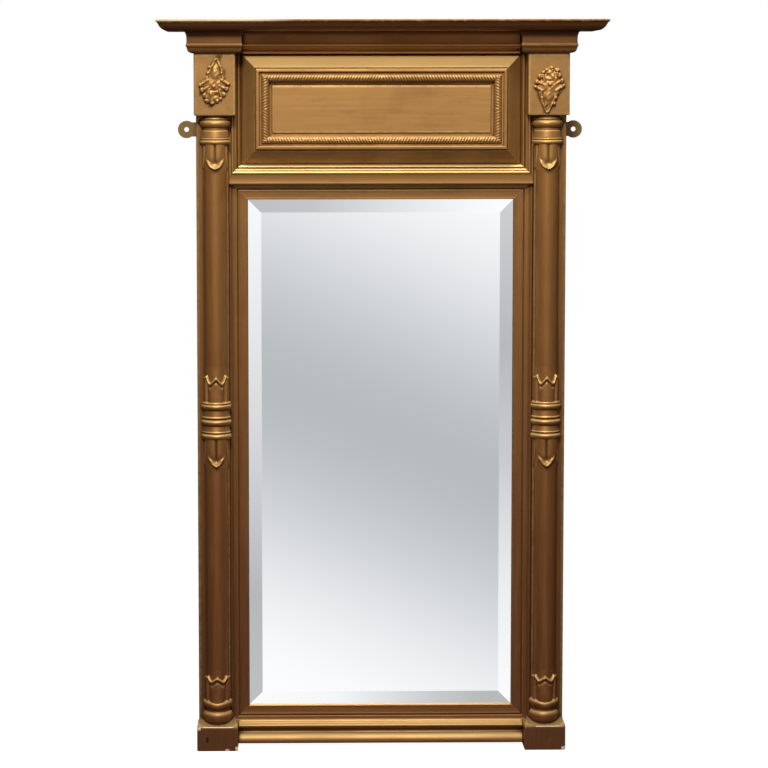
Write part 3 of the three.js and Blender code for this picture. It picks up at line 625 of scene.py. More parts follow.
def gilt(name, axis, tone=1.0, warm=1.0, shine=1.0, wear_and_highlight=0.5, dirt_and_shade=0.85, rough=0.48, metal=0.4,
         streaks=0.08, under=0.25, strip=0.0, marks=()):
    """Gold paint over gesso with its brush strokes along an axis, aged on edges and in recesses, with painted
    light: darker toward the floor, painted highlights on up-facing faces and edges, and painted shade on
    down-facing faces and in recesses.
    """
    material, tree = new_material(name)
    coords = object_coords(tree)
    parts = parts_of(tree, coords)
    strokes = noise_of(tree, stretched(tree, coords, GRAIN[axis]), 1.0, 5.0, 0.6)
    patches = noise_of(tree, stretched(tree, coords, PATCHES[axis]), 1.0, 5.0, 0.65, 0.5)
    clouds = noise_of(tree, coords, 7.0, 5.0, 0.6, 0.4)
    grains = noise_of(tree, coords, 420.0, 3.0, 0.6)
    flakes = noise_of(tree, coords, 95.0, 6.0, 0.7)
    tint = np.array((1.0, warm, warm * warm)) * tone
    colour = gold_coat_with_painted_light(tree, parts["Z"], (strokes, patches, clouds), tint, shine, streaks, under)
    colour, dirt_and_shade_mask = aged_and_shaded(tree, colour, clouds, flakes, tint, wear_and_highlight, dirt_and_shade)
    for mark_x, mark_z, size_x, size_z, paint in marks:
        colour = mix(tree, spot(tree, parts, flakes, (mark_x, mark_z), (size_x, size_z)), colour, paint)
    if strip:
        colour = mix(tree, worn_strip(tree, parts, flakes, strip), colour, WORN)
    roughness = plus(tree, span(tree, clouds, 0.3, 0.8, rough - 0.05, rough + 0.12), times(tree, dirt_and_shade_mask, 0.25))
    bumps = plus(tree, times(tree, strokes, 0.3), times(tree, grains, 0.25))
    bumps = plus(tree, bumps, times(tree, clouds, 1.2))
    shade(tree, Base_Color=colour, Roughness=roughness, Metallic=metal, Specular_IOR_Level=0.25,
          Normal=bumps_of(tree, bumps, 0.4, 0.0005))
    return material


def spot(tree, parts, flakes, centre, size):
    """A ragged patch about a point of the front, in millimetres."""
    shares = []
    for axis, middle, half in zip("XZ", centre, size):
        offset = plus(tree, parts[axis], -middle * MM)
        shares.append(unsigned(tree, calculate(tree, "DIVIDE", offset, half * MM)))
    ragged = plus(tree, larger(tree, *shares), times(tree, flakes, 1.4))
    return span(tree, ragged, 1.75, 1.6)


def worn_strip(tree, parts, flakes, amount):
    """Where the upper edge of the cornice is rubbed to the gesso, mostly at its left end."""
    edge = plus(tree, parts["Z"], times(tree, flakes, 0.006))
    edge = span(tree, edge, (CORNICE_TOP - 3.5) * MM, (CORNICE_TOP - 1.5) * MM)
    left = span(tree, parts["X"], -0.15, -0.24)
    rest = times(tree, span(tree, flakes, 0.5, 0.62), 0.3)
    front = plus(tree, parts["Y"], times(tree, flakes, 0.02))
    front = span(tree, front, (WALL - CORONA_DEPTH + 25.0) * MM, (WALL - CORONA_DEPTH + 15.0) * MM)
    outer = span(tree, unsigned(tree, parts["X"]), (CORONA_HALF - 18.0) * MM, (CORONA_HALF - 6.0) * MM)
    share = times(tree, larger(tree, left, rest), larger(tree, front, outer))
    return times(tree, times(tree, edge, share), amount)


BOARD_SCALE = {"x": (1.5, 60.0, 60.0), "z": (60.0, 60.0, 1.5)}
GROWTH = {"x": (0.9, 9.0, 9.0), "z": (9.0, 9.0, 0.9)}
RINGS = 16.0


def bare_wood(name, axis, pale, dark):
    """Old softwood: growth rings along the board, pores, dust and stains."""
    material, tree = new_material(name)
    coords = object_coords(tree)
    scale = BOARD_SCALE[axis]
    bend = noise_of(tree, stretched(tree, coords, scale), 0.25, 3.0)
    growth = noise_of(tree, stretched(tree, coords, GROWTH[axis]), 1.0, 2.0, 0.4, 0.3)
    waves = calculate(tree, "PINGPONG", times(tree, growth, RINGS), 0.5)
    pores = noise_of(tree, stretched(tree, coords, tuple(v * 14.0 for v in scale)), 1.0, 4.0)
    stains = noise_of(tree, coords, 4.5, 5.0, 0.6)
    colour = mix(tree, span(tree, waves, 0.05, 0.5, 0.0, 0.6), pale, dark)
    colour = mix(tree, span(tree, bend, 0.4, 0.7, 0.0, 0.35), colour, dark)
    colour = mix(tree, span(tree, pores, 0.55, 0.75, 0.0, 0.4), colour, tuple(c * 0.5 for c in dark))
    colour = mix(tree, span(tree, stains, 0.5, 0.75, 0.0, 0.5), colour, tuple(c * 0.4 for c in dark))
    height = plus(tree, times(tree, waves, 0.25), pores)
    shade(tree, Base_Color=colour, Roughness=span(tree, pores, 0.3, 0.8, 0.7, 0.95),
          Normal=bumps_of(tree, height, 0.3, 0.0004))
    return material


def silvered_plate(name):
    """Silvered glass: faint haze, and specks where the silver has gone along the edges."""
    material, tree = new_material(name)
    coords = object_coords(tree)
    parts = parts_of(tree, coords)
    sides = span(tree, unsigned(tree, parts["X"]), (SIGHT_HALF - 15.0) * MM, (SIGHT_HALF + 1.0) * MM)
    foot = span(tree, parts["Z"], (SIGHT_BOTTOM + 21.0) * MM, (SIGHT_BOTTOM + 3.0) * MM)
    specks = noise_of(tree, coords, 260.0, 5.0, 0.75)
    haze = noise_of(tree, coords, 5.0, 4.0, 0.6)
    lost = times(tree, larger(tree, sides, foot), span(tree, specks, 0.66, 0.72))
    colour = mix(tree, span(tree, haze, 0.35, 0.75, 0.0, 0.25), (0.955, 0.965, 0.97), (0.93, 0.945, 0.955))
    shade(tree, Base_Color=mix(tree, lost, colour, (0.16, 0.13, 0.11)), Roughness=0.0, Metallic=1.0)
    return material


def painted_steel(name, paint, steel, amount):
    """Steel under old bronze paint that has rubbed off in places."""
    material, tree = new_material(name)
    coords = object_coords(tree)
    patches = noise_of(tree, coords, 60.0, 6.0, 0.65)
    grains = noise_of(tree, coords, 700.0, 3.0)
    colour = mix(tree, span(tree, patches, amount, amount + 0.08), paint, steel)
    colour = mix(tree, span(tree, grains, 0.55, 0.8, 0.0, 0.4), colour, tuple(c * 0.5 for c in paint))
    shade(tree, Base_Color=colour, Roughness=span(tree, patches, 0.3, 0.7, 0.45, 0.62), Metallic=0.6,
          Normal=bumps_of(tree, patches, 0.4, 0.0005))
    return material


# Tones and tints give each piece's gilt; shine scales the painted highlight on up-facing faces, under scales
# the painted shade on down-facing faces, and the recess umber is dirt with painted shade.
gilt_across = gilt("gilt_across", "x", tone=0.93)
gilt_upright = gilt("gilt_upright", "z", tone=0.88)
gilt_carved = gilt("gilt_carved", "all", tone=0.94, warm=0.98, wear_and_highlight=0.55, rough=0.49, metal=0.45)
gilt_splay = gilt("gilt_splay", "x", shine=1.28)
gilt_cap = gilt("gilt_cap", "all", tone=0.52, shine=0.78, wear_and_highlight=0.4, metal=0.2)
gilt_foot = gilt("gilt_foot", "all", tone=0.86, warm=0.93, shine=0.78, wear_and_highlight=0.34, metal=0.45)
gilt_base = gilt("gilt_base", "z", tone=0.55, warm=0.88, wear_and_highlight=0.3, metal=0.3, streaks=0.05, marks=BASE_MARKS)
gilt_lit = gilt("gilt_lit", "x", tone=1.1, warm=1.07, shine=1.2, wear_and_highlight=0.9, rough=0.42, metal=0.6)
gilt_lit_upright = gilt("gilt_lit_upright", "z", tone=0.9, wear_and_highlight=0.9, rough=0.42, metal=0.6)
gilt_rail = gilt("gilt_rail", "x", tone=0.92, shine=0.76, wear_and_highlight=0.6, dirt_and_shade=1.0, rough=0.5, metal=0.5)
gilt_block = gilt("gilt_block", "all", tone=0.84, warm=1.02)
gilt_cove = gilt("gilt_cove", "x", tone=0.8, warm=0.95)
gilt_sight = gilt("gilt_sight", "x", tone=0.86, warm=0.94)
gilt_sight_upright = gilt("gilt_sight_upright", "z", tone=0.66, warm=0.9)
gilt_pilaster = gilt("gilt_pilaster", "z", tone=0.53, warm=0.9)
gilt_shaft = gilt("gilt_shaft", "z", tone=0.76, warm=0.9)
gilt_crown = gilt("gilt_crown", "all", tone=0.92, warm=0.95, wear_and_highlight=0.42, rough=0.46, metal=0.5)
gilt_bed = gilt("gilt_bed", "x", tone=0.41, warm=0.78, under=0.9)
gilt_fascia = gilt("gilt_fascia", "x", tone=0.85, warm=0.77, dirt_and_shade=1.0, under=1.0)
gilt_corona = gilt("gilt_corona", "x", tone=0.35, warm=0.72, under=0.7, strip=0.85)
wood_across = bare_wood("wood_across", "x", (0.52, 0.36, 0.20), (0.34, 0.20, 0.10))
wood_upright = bare_wood("wood_upright", "z", (0.50, 0.34, 0.19), (0.33, 0.19, 0.10))
plate_material = silvered_plate("silvered_plate")
ear_material = painted_steel("ear_paint", (0.20, 0.12, 0.042), (0.27, 0.18, 0.09), 0.55)
screw_material = painted_steel("screw_steel", (0.13, 0.11, 0.09), (0.35, 0.33, 0.30), 0.45)


# ------------------------------------------------------------------ frieze, sight and rail mouldings
def sight_moulding():
    """The four sides round the plate: a flat, a cove and a lip over the glass."""
    width = SIGHT_RUN - 0.2
    outline = [(0.4, 0), (width, 0), (width, 13.6), (32.4, 14)]
    outline += curve((31.0, 13.6), (31.0, 8.2), (20.4, 8.0), 7)
    outline += [(20.2, 4.5), (18.2, 4.5), (18.0, 6.6)]
    outline += curve((16.5, 7.0), (14.0, 5.7), (3.5, 5.5), 4)
    outline += [(0.9, 6.0), (0.2, 4.6)]
    section = refine(soften(outline, 0.7, 2), 3.0)
    piece = mitred_frame("sight_frame", section, SIGHT_HALF, SIGHT_BOTTOM, SIGHT_TOP, SIGHT_BASE,
                         (gilt_sight, gilt_sight_upright))
    finish_piece(piece, ["sight_moulding_" + side for side in FRAME_SIDES])


def frieze_splay():
    """The four boards that rise from the ground of the frieze to the tablet."""
    outline = [(0, 0), (SLOPE_RUN, 0), (SLOPE_RUN, 4), (1.9, 34.4), (1.7, 31.5), (0, 31.5)]
    section = refine(soften(outline, 0.4, 2), 4.0)
    piece = mitred_frame("frieze_splay", section, TABLET_HALF, TABLET_BOTTOM, TABLET_TOP, GROUND,
                         (gilt_splay, gilt_upright))
    finish_piece(piece, ["frieze_slope_" + side for side in FRAME_SIDES])


def tablet_frame():
    """The mouldings round the tablet: a flat, a carved bead and a step down to the panel."""
    outline = [(-3.0, 0), (TABLET_RUN, 0), (TABLET_RUN, 37.5), (27.0, 38.6), (22.6, 39.2), (21.6, 38.0)]
    outline += [(20.8, 33.6), (17.6, 33.2)]
    outline += arc((BEAD_MIDDLE, BEAD_FOOT), (BEAD_RADIUS, BEAD_RADIUS), 8, 172, 14)
    outline += [(3.6, 32.0), (3.0, 25.6), (-3.0, 25.2)]
    section = refine(soften(outline, 0.35, 2), 1.6)
    half = TABLET_HALF - TABLET_RUN
    piece = mitred_frame("tablet_frame", section, half, TABLET_BOTTOM + TABLET_RUN, TABLET_TOP - TABLET_RUN,
                         GROUND, (gilt_carved, gilt_carved), pitch=1.4)
    carve_bead(piece.data, half)
    finish_piece(piece, ["tablet_moulding_" + side for side in FRAME_SIDES], 4, 0.35)


def carve_bead(mesh, half):
    """Presses slanted gouges, four to a leaf, into the bead that runs round the tablet."""
    points = values_of(mesh.vertices, "co", 3)
    x = points[:, 0] / MM
    depth = WALL - points[:, 1] / MM
    z = points[:, 2] / MM
    middle = (TABLET_BOTTOM + TABLET_TOP) / 2
    out_x = np.abs(x) - half
    out_z = np.abs(z - middle) - (TABLET_TOP - TABLET_BOTTOM) / 2 + TABLET_RUN
    along = np.where(out_x > out_z, z - middle, x)
    across = (np.maximum(out_x, out_z) - BEAD_MIDDLE) / BEAD_RADIUS
    on_bead = (np.abs(across) < 1.0) & (depth > GROUND + BEAD_FOOT + 0.2)
    lean = np.where(along > 0.0, 1.0, -1.0) * 0.55 * across
    stroke = 0.5 + 0.5 * np.cos(2.0 * math.pi * (along / BEAD_PITCH + lean))
    leaf = 0.5 + 0.5 * np.cos(2.0 * math.pi * (along / (4.0 * BEAD_PITCH) + 0.5 * lean))
    lift = 1.5 * stroke * (0.5 + 0.5 * leaf) - 0.5 * leaf * (across < 0.0) - 1.2
    fade = smooth(1.0 - np.abs(across), 0.0, 0.25)
    points[:, 1] -= np.where(on_bead, lift * fade, 0.0) * MM
    mesh.vertices.foreach_set("co", points.reshape(-1))
    mesh.update()


def tablet_board():
    """The plain panel in the middle of the tablet."""
    low = TABLET_BOTTOM + TABLET_RUN + PANEL_GROOVE
    height = TABLET_TOP - TABLET_RUN - PANEL_GROOVE - low
    outline = [(0, 0), (height, 0), (height, 28.6), (0, 28.6)]
    section = refine(soften(outline, 0.8, 2), 5.0)
    half = TABLET_HALF - TABLET_RUN - PANEL_GROOVE
    piece = straight_run("tablet_board", section, half, GROUND, low, gilt_across)
    finish_piece(piece, ["tablet_panel"])


def frieze_border():
    """Three rounded steps below and beside the splayed boards, and the cove under them."""
    thin = [(0.1, 0), (0.1, 4.4)] + curve((0.5, 5.2), (3.2, 9.6), (5.6, 9.4), 5) + [(6.5, 8.4), (6.9, 6.6)]
    thick = [(7.5, 7.4)] + curve((7.7, 8.2), (9.4, 11.6), (11.8, 11.3), 5) + [(12.6, 10.4)]
    thick += curve((13.0, 10.5), (14.4, 12.8), (17.4, 12.3), 5) + [(18.7, 11.0), (19, 9.4), (19, 0)]
    section = refine(soften(list(reversed(thin + thick)), 0.3, 2), 3.0)
    sides = ("bottom", "left", "right")
    border = mitred_frame("frieze_border", section, SLOPE_HALF, SLOPE_BOTTOM, CORNICE_BOTTOM - 0.1, GROUND,
                          (gilt_lit, gilt_lit_upright), sides, upright_mitres=(1, 0))
    outline = [(0, 0), (18.6, 0), (18.6, 10.2)] + curve((17.6, 10.0), (9.0, 8.2), (2.0, 9.6), 8)
    section = refine(soften(outline + [(0.2, 9.0)], 0.3, 2), 3.0)
    cove = straight_run("frieze_cove", section, COVE_HALF, GROUND + 0.2, COVE_BOTTOM - 6.2, gilt_cove)
    finish_piece(cove, [])
    finish_piece(border, ["frieze_border_" + side for side in sides])


def rail_moulding():
    """The moulding between the base blocks: a round above, a hollow and a wide round below."""
    top = RAIL_HEIGHT
    outline = [(0, 0), (top, 0), (top, 15.5), (top - 1.6, 16.4)]
    outline += curve((top - 2.0, 17.0), (top - 2.6, 23.0), (top - 6.0, 23.4), 6)
    outline += curve((top - 6.8, 23.2), (top - 10.4, 22.8), (top - 11.6, 18.0), 6)
    outline += curve((top - 12.4, 14.8), (top - 16.0, 11.8), (18.6, 15.2), 7)
    outline += curve((18.6, 16.6), (13.0, 26.6), (3.4, 26.8), 8)
    outline += [(1.8, 26.4), (0.9, 24.8), (0.2, 24.4)]
    section = refine(soften(outline, 0.4, 2), 3.0)
    piece = straight_run("rail_moulding_run", section, RAIL_HALF, SIGHT_BASE, RAIL_BOTTOM, gilt_rail)
    finish_piece(piece, ["rail_moulding"])


# ------------------------------------------------------------------ cornice
BLOCK_UNDERCUT = [(0.2, 0.1)] + curve((1.5, 0.4), (11.4, 0.8), (12, 10.6), 8)
MIDDLE_UNDERCUT = [(0.2, 0.1), (0.4, 4.4), (1.4, 5.6)] + curve((2.6, 5.8), (11.6, 6.2), (12, 11.6), 6)


def bed_levels(undercut):
    """The profile of the bed moulding, from its undercut foot to the cove below the corona."""
    swell = [(13.2, 12.2), (13.7, 13.4), (13.9, 15.0), (13.7, 16.6), (13.0, 18.0), (12.5, 19.0)]
    hollow = curve((12.4, 20.4), (12.0, 30.0), (13.4, 35.0), 6)
    hollow += curve((13.8, 35.8), (15.2, 39.8), (18.4, 41.0), 5)
    return [(u, CORNICE_BOTTOM + v) for u, v in undercut + swell + hollow]


def bed_block(side):
    """The bed moulding where it breaks forward over a corner block."""
    piece = stacked_block("bed_block_shaped_" + side, bed_levels(BLOCK_UNDERCUT), GROUND, gilt_bed, side, 0.8)
    finish_piece(piece, ["bed_block_" + side])


def bed_middle():
    """The length of bed moulding between the two blocks."""
    outline = [(z - CORNICE_BOTTOM, BED_DEPTH - GROUND + reach) for reach, z in bed_levels(MIDDLE_UNDERCUT)]
    outline = [(0.1, 0)] + outline + [(41.1, 0)]
    section = refine(soften(list(reversed(outline)), 0.3, 2), 3.0)
    piece = straight_run("bed_middle_run", section, BLOCK_INNER - BED_END_GAP, GROUND, CORNICE_BOTTOM,
                         gilt_fascia)
    finish_piece(piece, ["bed_middle"])


def corona():
    """The top moulding: one run along the front and a mitred return at each end."""
    foot = CORONA_STRIP - 17.0
    outline = [(0, 0), (foot, 0.2)]
    outline += curve((foot + 1.5, 0.8), (foot + 9.0, 4.6), (foot + 12.0, 12.0), 7)
    outline += [(foot + 14.2, 15.2), (foot + 16.4, 16.3)]
    outline += [(CORONA_STRIP - 0.1, 18.2), (CORONA_STRIP - 1.4, 20.3), (0, 20.4)]
    section = refine(soften(outline, 0.5, 2), 4.0)
    half = CORONA_HALF - CORONA_STRIP
    depth = CORONA_DEPTH - CORONA_STRIP
    up = (0, 0, 1)
    pitch = 6
    origin = (0, depth, CORONA_BOTTOM)
    parts = [sweep_part(section, origin, (0, -1, 0), up, (1, 0, 0), 2 * half, (1, 1), pitch)]
    for sign in SIGNS.values():
        origin = (sign * half, depth / 2, CORONA_BOTTOM)
        parts.append(sweep_part(section, origin, (sign, 0, 0), up, (0, 1, 0), depth, (1, 0), pitch))
    piece = make_closed("corona", *merge_parts(parts), gilt_corona)
    finish_piece(piece, ["corona_front", "corona_return_left", "corona_return_right"])


# ------------------------------------------------------------------ blocks and pilasters
def corner_block(side):
    """The plain block above a capital, drawn in at its foot."""
    levels = [(-2.2, 0.1), (-1.0, 0.4), (-0.2, 1.4)]
    levels += [(0.0, rise) for rise in (2.6, 4.5, 7, 11, *range(20, 105, 12))]
    levels = [(reach, BLOCK_BOTTOM + rise) for reach, rise in levels] + [(0.0, CORNICE_BOTTOM)]
    piece = stacked_block("corner_block_shaped_" + side, levels, BLOCK_BACK, gilt_block, side, 3.5)
    finish_piece(piece, ["corner_block_" + side])


def base_block(side):
    """The block that stands on the floor, with its splayed cap as a piece of its own."""
    levels = [(-0.8, 0.0), (-0.1, 0.8)]
    levels += [(0.0, rise) for rise in (2, 4, 8, 15, 24, 33, 40, 44)]
    levels += [(-0.3, BASE_TOP - 1.0), (-1.2, BASE_TOP)]
    block = stacked_block("base_block_shaped_" + side, levels, BLOCK_BACK, gilt_base, side, 1.6)
    finish_piece(base_cap(side), [])
    finish_piece(block, ["base_block_" + side])


def base_cap(side):
    """The splayed cap on a base block; its top sinks round the foot of the column."""
    middle = SIGNS[side] * COLUMN_X
    half = (BLOCK_OUTER - BLOCK_INNER) / 2
    shares = np.linspace(-1.0, 1.0, 49)
    back_x = middle + shares * (half - CAP_EDGE - CAP_INSET)
    rows = []
    for step in np.linspace(0.0, 1.0, 9):
        x = shares * (half - CAP_EDGE - CAP_INSET * smooth(step, 0.0, 1.0))
        sink = np.clip(1.0 - (x / CAP_SEAT_HALF) ** 2, 0.0, 1.0) ** 0.5
        front = CAP_FRONT - CAP_SLOPE * step ** 1.5 - 3.0 * step * sink
        z = BASE_TOP + (CAP_TOP - BASE_TOP - 0.4) * step - CAP_SEAT_SINK * step * sink
        rows.append(place(middle + x, front, z))
    rows.append(place(back_x, CAP_BACK, z))
    rows.append(place(back_x, CAP_BACK, BASE_TOP))
    rows = np.array(rows)
    count = len(shares)
    faces = grid_faces(len(rows), count)
    faces.append((*range(count), *range(len(rows) * count - 1, (len(rows) - 1) * count - 1, -1)))
    for column in (0, count - 1):
        faces.append(tuple(row * count + column for row in range(len(rows))))
    return make_closed("base_cap_" + side, rows, faces, gilt_cap)


def pilaster(side):
    """The board behind a column, with softened edges."""
    heights = np.linspace(BASE_TOP, BLOCK_BOTTOM, int((BLOCK_BOTTOM - BASE_TOP) / 12.0))
    outline = [(PILASTER_INNER, SIGHT_BASE), (BODY_HALF, SIGHT_BASE), (BODY_HALF, PILASTER_DEPTH),
               (PILASTER_INNER, PILASTER_DEPTH)]
    outline = np.array(refine(soften(outline, 1.6, 3), 7.0))
    vertices = place(SIGNS[side] * outline[:, 0], outline[:, 1], heights[:, None])
    faces = tube_faces(len(heights), len(outline))
    piece = make_closed("pilaster_board_" + side, vertices, faces, gilt_pilaster)
    finish_piece(piece, ["pilaster_" + side])


# ------------------------------------------------------------------ columns
ANGLES = np.radians(np.linspace(-90.0, 90.0, 121))


def softened(height, passes=2):
    """Softens a height field a little, as paint does."""
    for _ in range(passes):
        padded = np.pad(height, 1, mode="edge")
        beside = padded[:-2, 1:-1] + padded[2:, 1:-1] + padded[1:-1, :-2] + padded[1:-1, 2:]
        height = (4 * height + beside) / 8
    return height


def roll(z, low, high, radius, core=SHAFT):
    """Radius of a rounded ring between two heights, core elsewhere."""
    middle = (low + high) / 2
    share = np.clip(1.0 - ((z - middle) / ((high - low) / 2)) ** 2, 0.0, 1.0)
    return core + (radius - core) * np.sqrt(share)


def bell(z, low, high, low_radius, high_radius):
    """Radius of a cone between two heights, 0 elsewhere."""
    share = (z - low) / (high - low)
    inside = (share >= 0) & (share <= 1)
    return np.where(inside, low_radius + (high_radius - low_radius) * share, 0.0)


def hanging_leaf(x, share, half_width, point):
    """Height of the front leaf: two cushions parted by a slit, a hollow and a thick curled tip.

    x is the distance from its middle, share runs 0 at the root to 1 at the tip; point is 0 for a round
    tip and 1 for a pointed one.
    """
    run = np.clip(share, 0.0, 1.0)
    blunt = np.sqrt(np.clip(1.0 - np.clip((run - 0.42) / 0.58, 0.0, 1.0) ** 2, 0.0, 1.0))
    sharp = np.clip(1.0 - run ** 2.5, 0.0, 1.0) ** 0.72
    width = half_width * ((1.0 - point) * blunt + point * sharp) * (1.0 + 0.03 * point * np.sin(run * 30.0))
    gap = width - np.abs(x)
    inside = smooth(gap, -0.4, 0.9) * (share > -0.05) * (share < 1.0)
    low_part = smooth(run, 0.5, 0.8)
    rim = bump(gap, 1.6 + 1.8 * low_part, 1.3 + 2.0 * low_part)
    cushion = np.sin(np.clip(np.abs(x) / np.maximum(width, 0.1), 0.0, 1.0) * math.pi) ** 0.7
    slit = bump(x, 0.0, 1.3) * smooth(run, 0.02, 0.1) * (1.0 - smooth(run, 0.72, 0.82))
    pocket = bump(run, 0.76, 0.09) * bump(x, 0.0, 0.3 * half_width)
    body = 3.0 + 2.3 * cushion * (1.0 - 0.8 * low_part)
    return inside * (body + rim * (0.6 + 2.7 * low_part) - 2.0 * slit - 2.6 * pocket)


def flank_leaf(x, share, half_width):
    """A plain leaf at the side of the column."""
    width = half_width * np.clip(1.0 - np.clip(share, 0.0, 1.0) ** 2.4, 0.0, 1.0) ** 0.6
    gap = width - np.abs(x)
    return smooth(gap, -0.4, 1.2) * (share < 1.0) * (2.0 + 0.8 * bump(gap, 1.5, 1.6))


def hanging_leaves(theta, z, root, length, half_width, point):
    """A hanging leaf in front and plain ones at the sides."""
    share = (root - z) / length
    lift = hanging_leaf(SHAFT * theta, share, half_width, point)
    for sign in (-1, 1):
        beside = SHAFT * (theta - sign * math.radians(84))
        lift = np.maximum(lift, flank_leaf(beside, share / 0.97, 9.5))
    return lift


# Upper edge of the leaf crown: distance from the middle and height as shares of the crown's height.
CROWN_X = (0.0, 3.0, 9.0, 11.5, 14.0, 18.4, 20.0, 22.5, 25.2)
CROWN_SHARE = (1.0, 0.96, 0.81, 0.785, 0.84, 1.05, 1.06, 0.99, 0.97)


def crown(theta, z, root, height, swing=1.0):
    """Standing leaves: a folded one in front, the points of its neighbours, taller ones at the flanks."""
    x = np.abs((SHAFT + 4.0) * np.sin(theta))
    edge = root + height * (1.0 + swing * (np.interp(x, CROWN_X, CROWN_SHARE) - 1.0))
    under = edge - z
    rim = bump(under, 3.2, 3.2) * (1.0 - 0.8 * smooth(x, 19.2, 21.5))
    fold = bump(under, 9.0, 3.2) * smooth(-x, -17.0, -12.0)
    spread = np.clip((z - root) / height, 0.0, 1.5)
    ridge = bump(x, 0.0, 2.2 + 2.0 * (1.0 - spread))
    groove = bump(x, 16.6 + 1.5 * spread, 1.7) * smooth(under, 3.0, 13.0)
    body = 2.4 + 1.9 * np.sin(np.clip(x / 16.6, 0.0, 1.0) * math.pi) ** 0.9 + 1.6 * ridge
    edge_line = bump(x, 20.4 + spread, 1.5) * smooth(under, 1.0, 7.0)
    return smooth(under, -1.3, 1.5) * (body + 2.6 * rim + 1.7 * edge_line - 1.8 * fold - 3.2 * groove)


def turned_piece(name, bottom, top, radius_at, side, node, material, step=CARVED_STEP):
    """A half-round piece on the pilaster; radius_at gives the radius over angle and height.

    Only carved pieces get the rubbed wear with its painted edge highlight and the painted recess shade, and
    less toward their ends.
    """
    z = np.linspace(bottom, top, max(3, int((top - bottom) / step)))[:, None]
    theta = ANGLES[None, :]
    radius = softened(np.minimum(radius_at(theta, z) + 0.0 * theta * z, RING))
    x = SIGNS[side] * COLUMN_X + radius * np.sin(theta)
    vertices = place(x, PILASTER_DEPTH + radius * np.cos(theta), z)
    piece = make_closed(name, vertices, tube_faces(*radius.shape), material, 55.0)
    rubbed_and_highlit = step == CARVED_STEP
    fade = rubbed_and_highlit * smooth(z - bottom, 1.0, 8.0) * smooth(top - z, 4.0, 14.0) + 0.0 * theta
    finish_piece(piece, [node], 10, 0.7, fade.reshape(-1))


def with_rings(z, radius, rings, core=SHAFT):
    """Adds rounded rings, each with its lower and upper height and its radius."""
    for low, high, reach in rings:
        radius = np.maximum(radius, roll(z, low, high, reach, core))
    return radius


def capital(side):
    """Rings and a bell over a hanging leaf."""
    core = 22.4
    foot_ring = (1147.6, 1157.0, RING)
    rings = ((1193.2, 1198.4, 26.6), (1180.0, 1193.4, RING), (1156.5, 1160.6, 28.0), foot_ring)

    def radius_at(theta, z):
        radius = with_rings(z, core + 0.0 * z, rings, core)
        radius = np.maximum(radius, bell(z, 1160.2, 1174.0, 26.8, 24.6))
        radius = np.where(z < 1149.5, SHAFT, radius)
        leaves = np.where(z < 1149.0, SHAFT + hanging_leaves(theta, z, 1151.0, 49.5, 17.6, 0.0), 0.0)
        return with_rings(z, np.maximum(radius, leaves), (foot_ring,))

    turned_piece("capital_carved_" + side, CAPITAL_BOTTOM, CAPITAL_TOP, radius_at, side, "capital_" + side,
                 gilt_carved)


def collar(side):
    """Rings and bells in the middle of the column, a leaf crown above and a pointed leaf below."""
    rings = ((649.4, 661.5, RING), (659.0, 665.4, 27.2), (632.6, 638.2, 27.2),
             (620.0, 632.0, RING), (605.4, 610.0, 27.4), (593.2, 605.4, RING))

    def radius_at(theta, z):
        radius = np.where((z > 594.0) & (z < 664.0), 22.6, SHAFT) + 0.0 * theta
        radius = with_rings(z, radius, rings)
        radius = np.maximum(radius, bell(z, 638.0, 649.6, 25.4, 23.4))
        radius = np.maximum(radius, bell(z, 609.6, 620.2, 26.0, 23.6))
        down = np.where(z < 595.0, SHAFT + hanging_leaves(theta, z, 596.5, 55.5, 20.5, 1.0), 0.0)
        up = np.where(z > 662.0, SHAFT + crown(theta, z, 663.0, 49.5), 0.0)
        return np.maximum(radius, np.maximum(down, up))

    turned_piece("collar_carved_" + side, COLLAR_BOTTOM, COLLAR_TOP, radius_at, side, "collar_" + side,
                 gilt_crown)


def column_base(side):
    """Two thick rings, the upper one drooping in front, under a leaf crown."""
    def radius_at(theta, z):
        radius = np.where(z < 92.0, 22.6, SHAFT) + 0.0 * theta
        radius = with_rings(z, radius, ((50.0, 73.5, RING),))
        droop = 1.5 * np.cos(2.0 * theta) + 1.2 * bump(theta, 0.0, 0.35)
        radius = with_rings(z + droop, radius, ((79.5, 95.0, 28.4),))
        radius = np.where(z < 50.5, np.maximum(radius, 24.0), radius)
        up = np.where(z > 88.0, SHAFT + crown(theta, z, 92.0, 48.5, 0.62), 0.0)
        return np.maximum(radius, up)

    turned_piece("column_base_carved_" + side, COLUMN_FOOT, BASE_CROWN_TOP, radius_at, side,
                 "column_base_" + side, gilt_foot)


def shafts(side):
    """The two plain lengths of a column."""
    lengths = (("upper", COLLAR_TOP, CAPITAL_BOTTOM), ("lower", BASE_CROWN_TOP, COLLAR_BOTTOM))
    for part, bottom, top in lengths:
        turned_piece(f"shaft_{part}_{side}", bottom, top, lambda theta, z: SHAFT, side,
                     f"{part}_shaft_{side}", gilt_shaft, SHAFT_STEP)


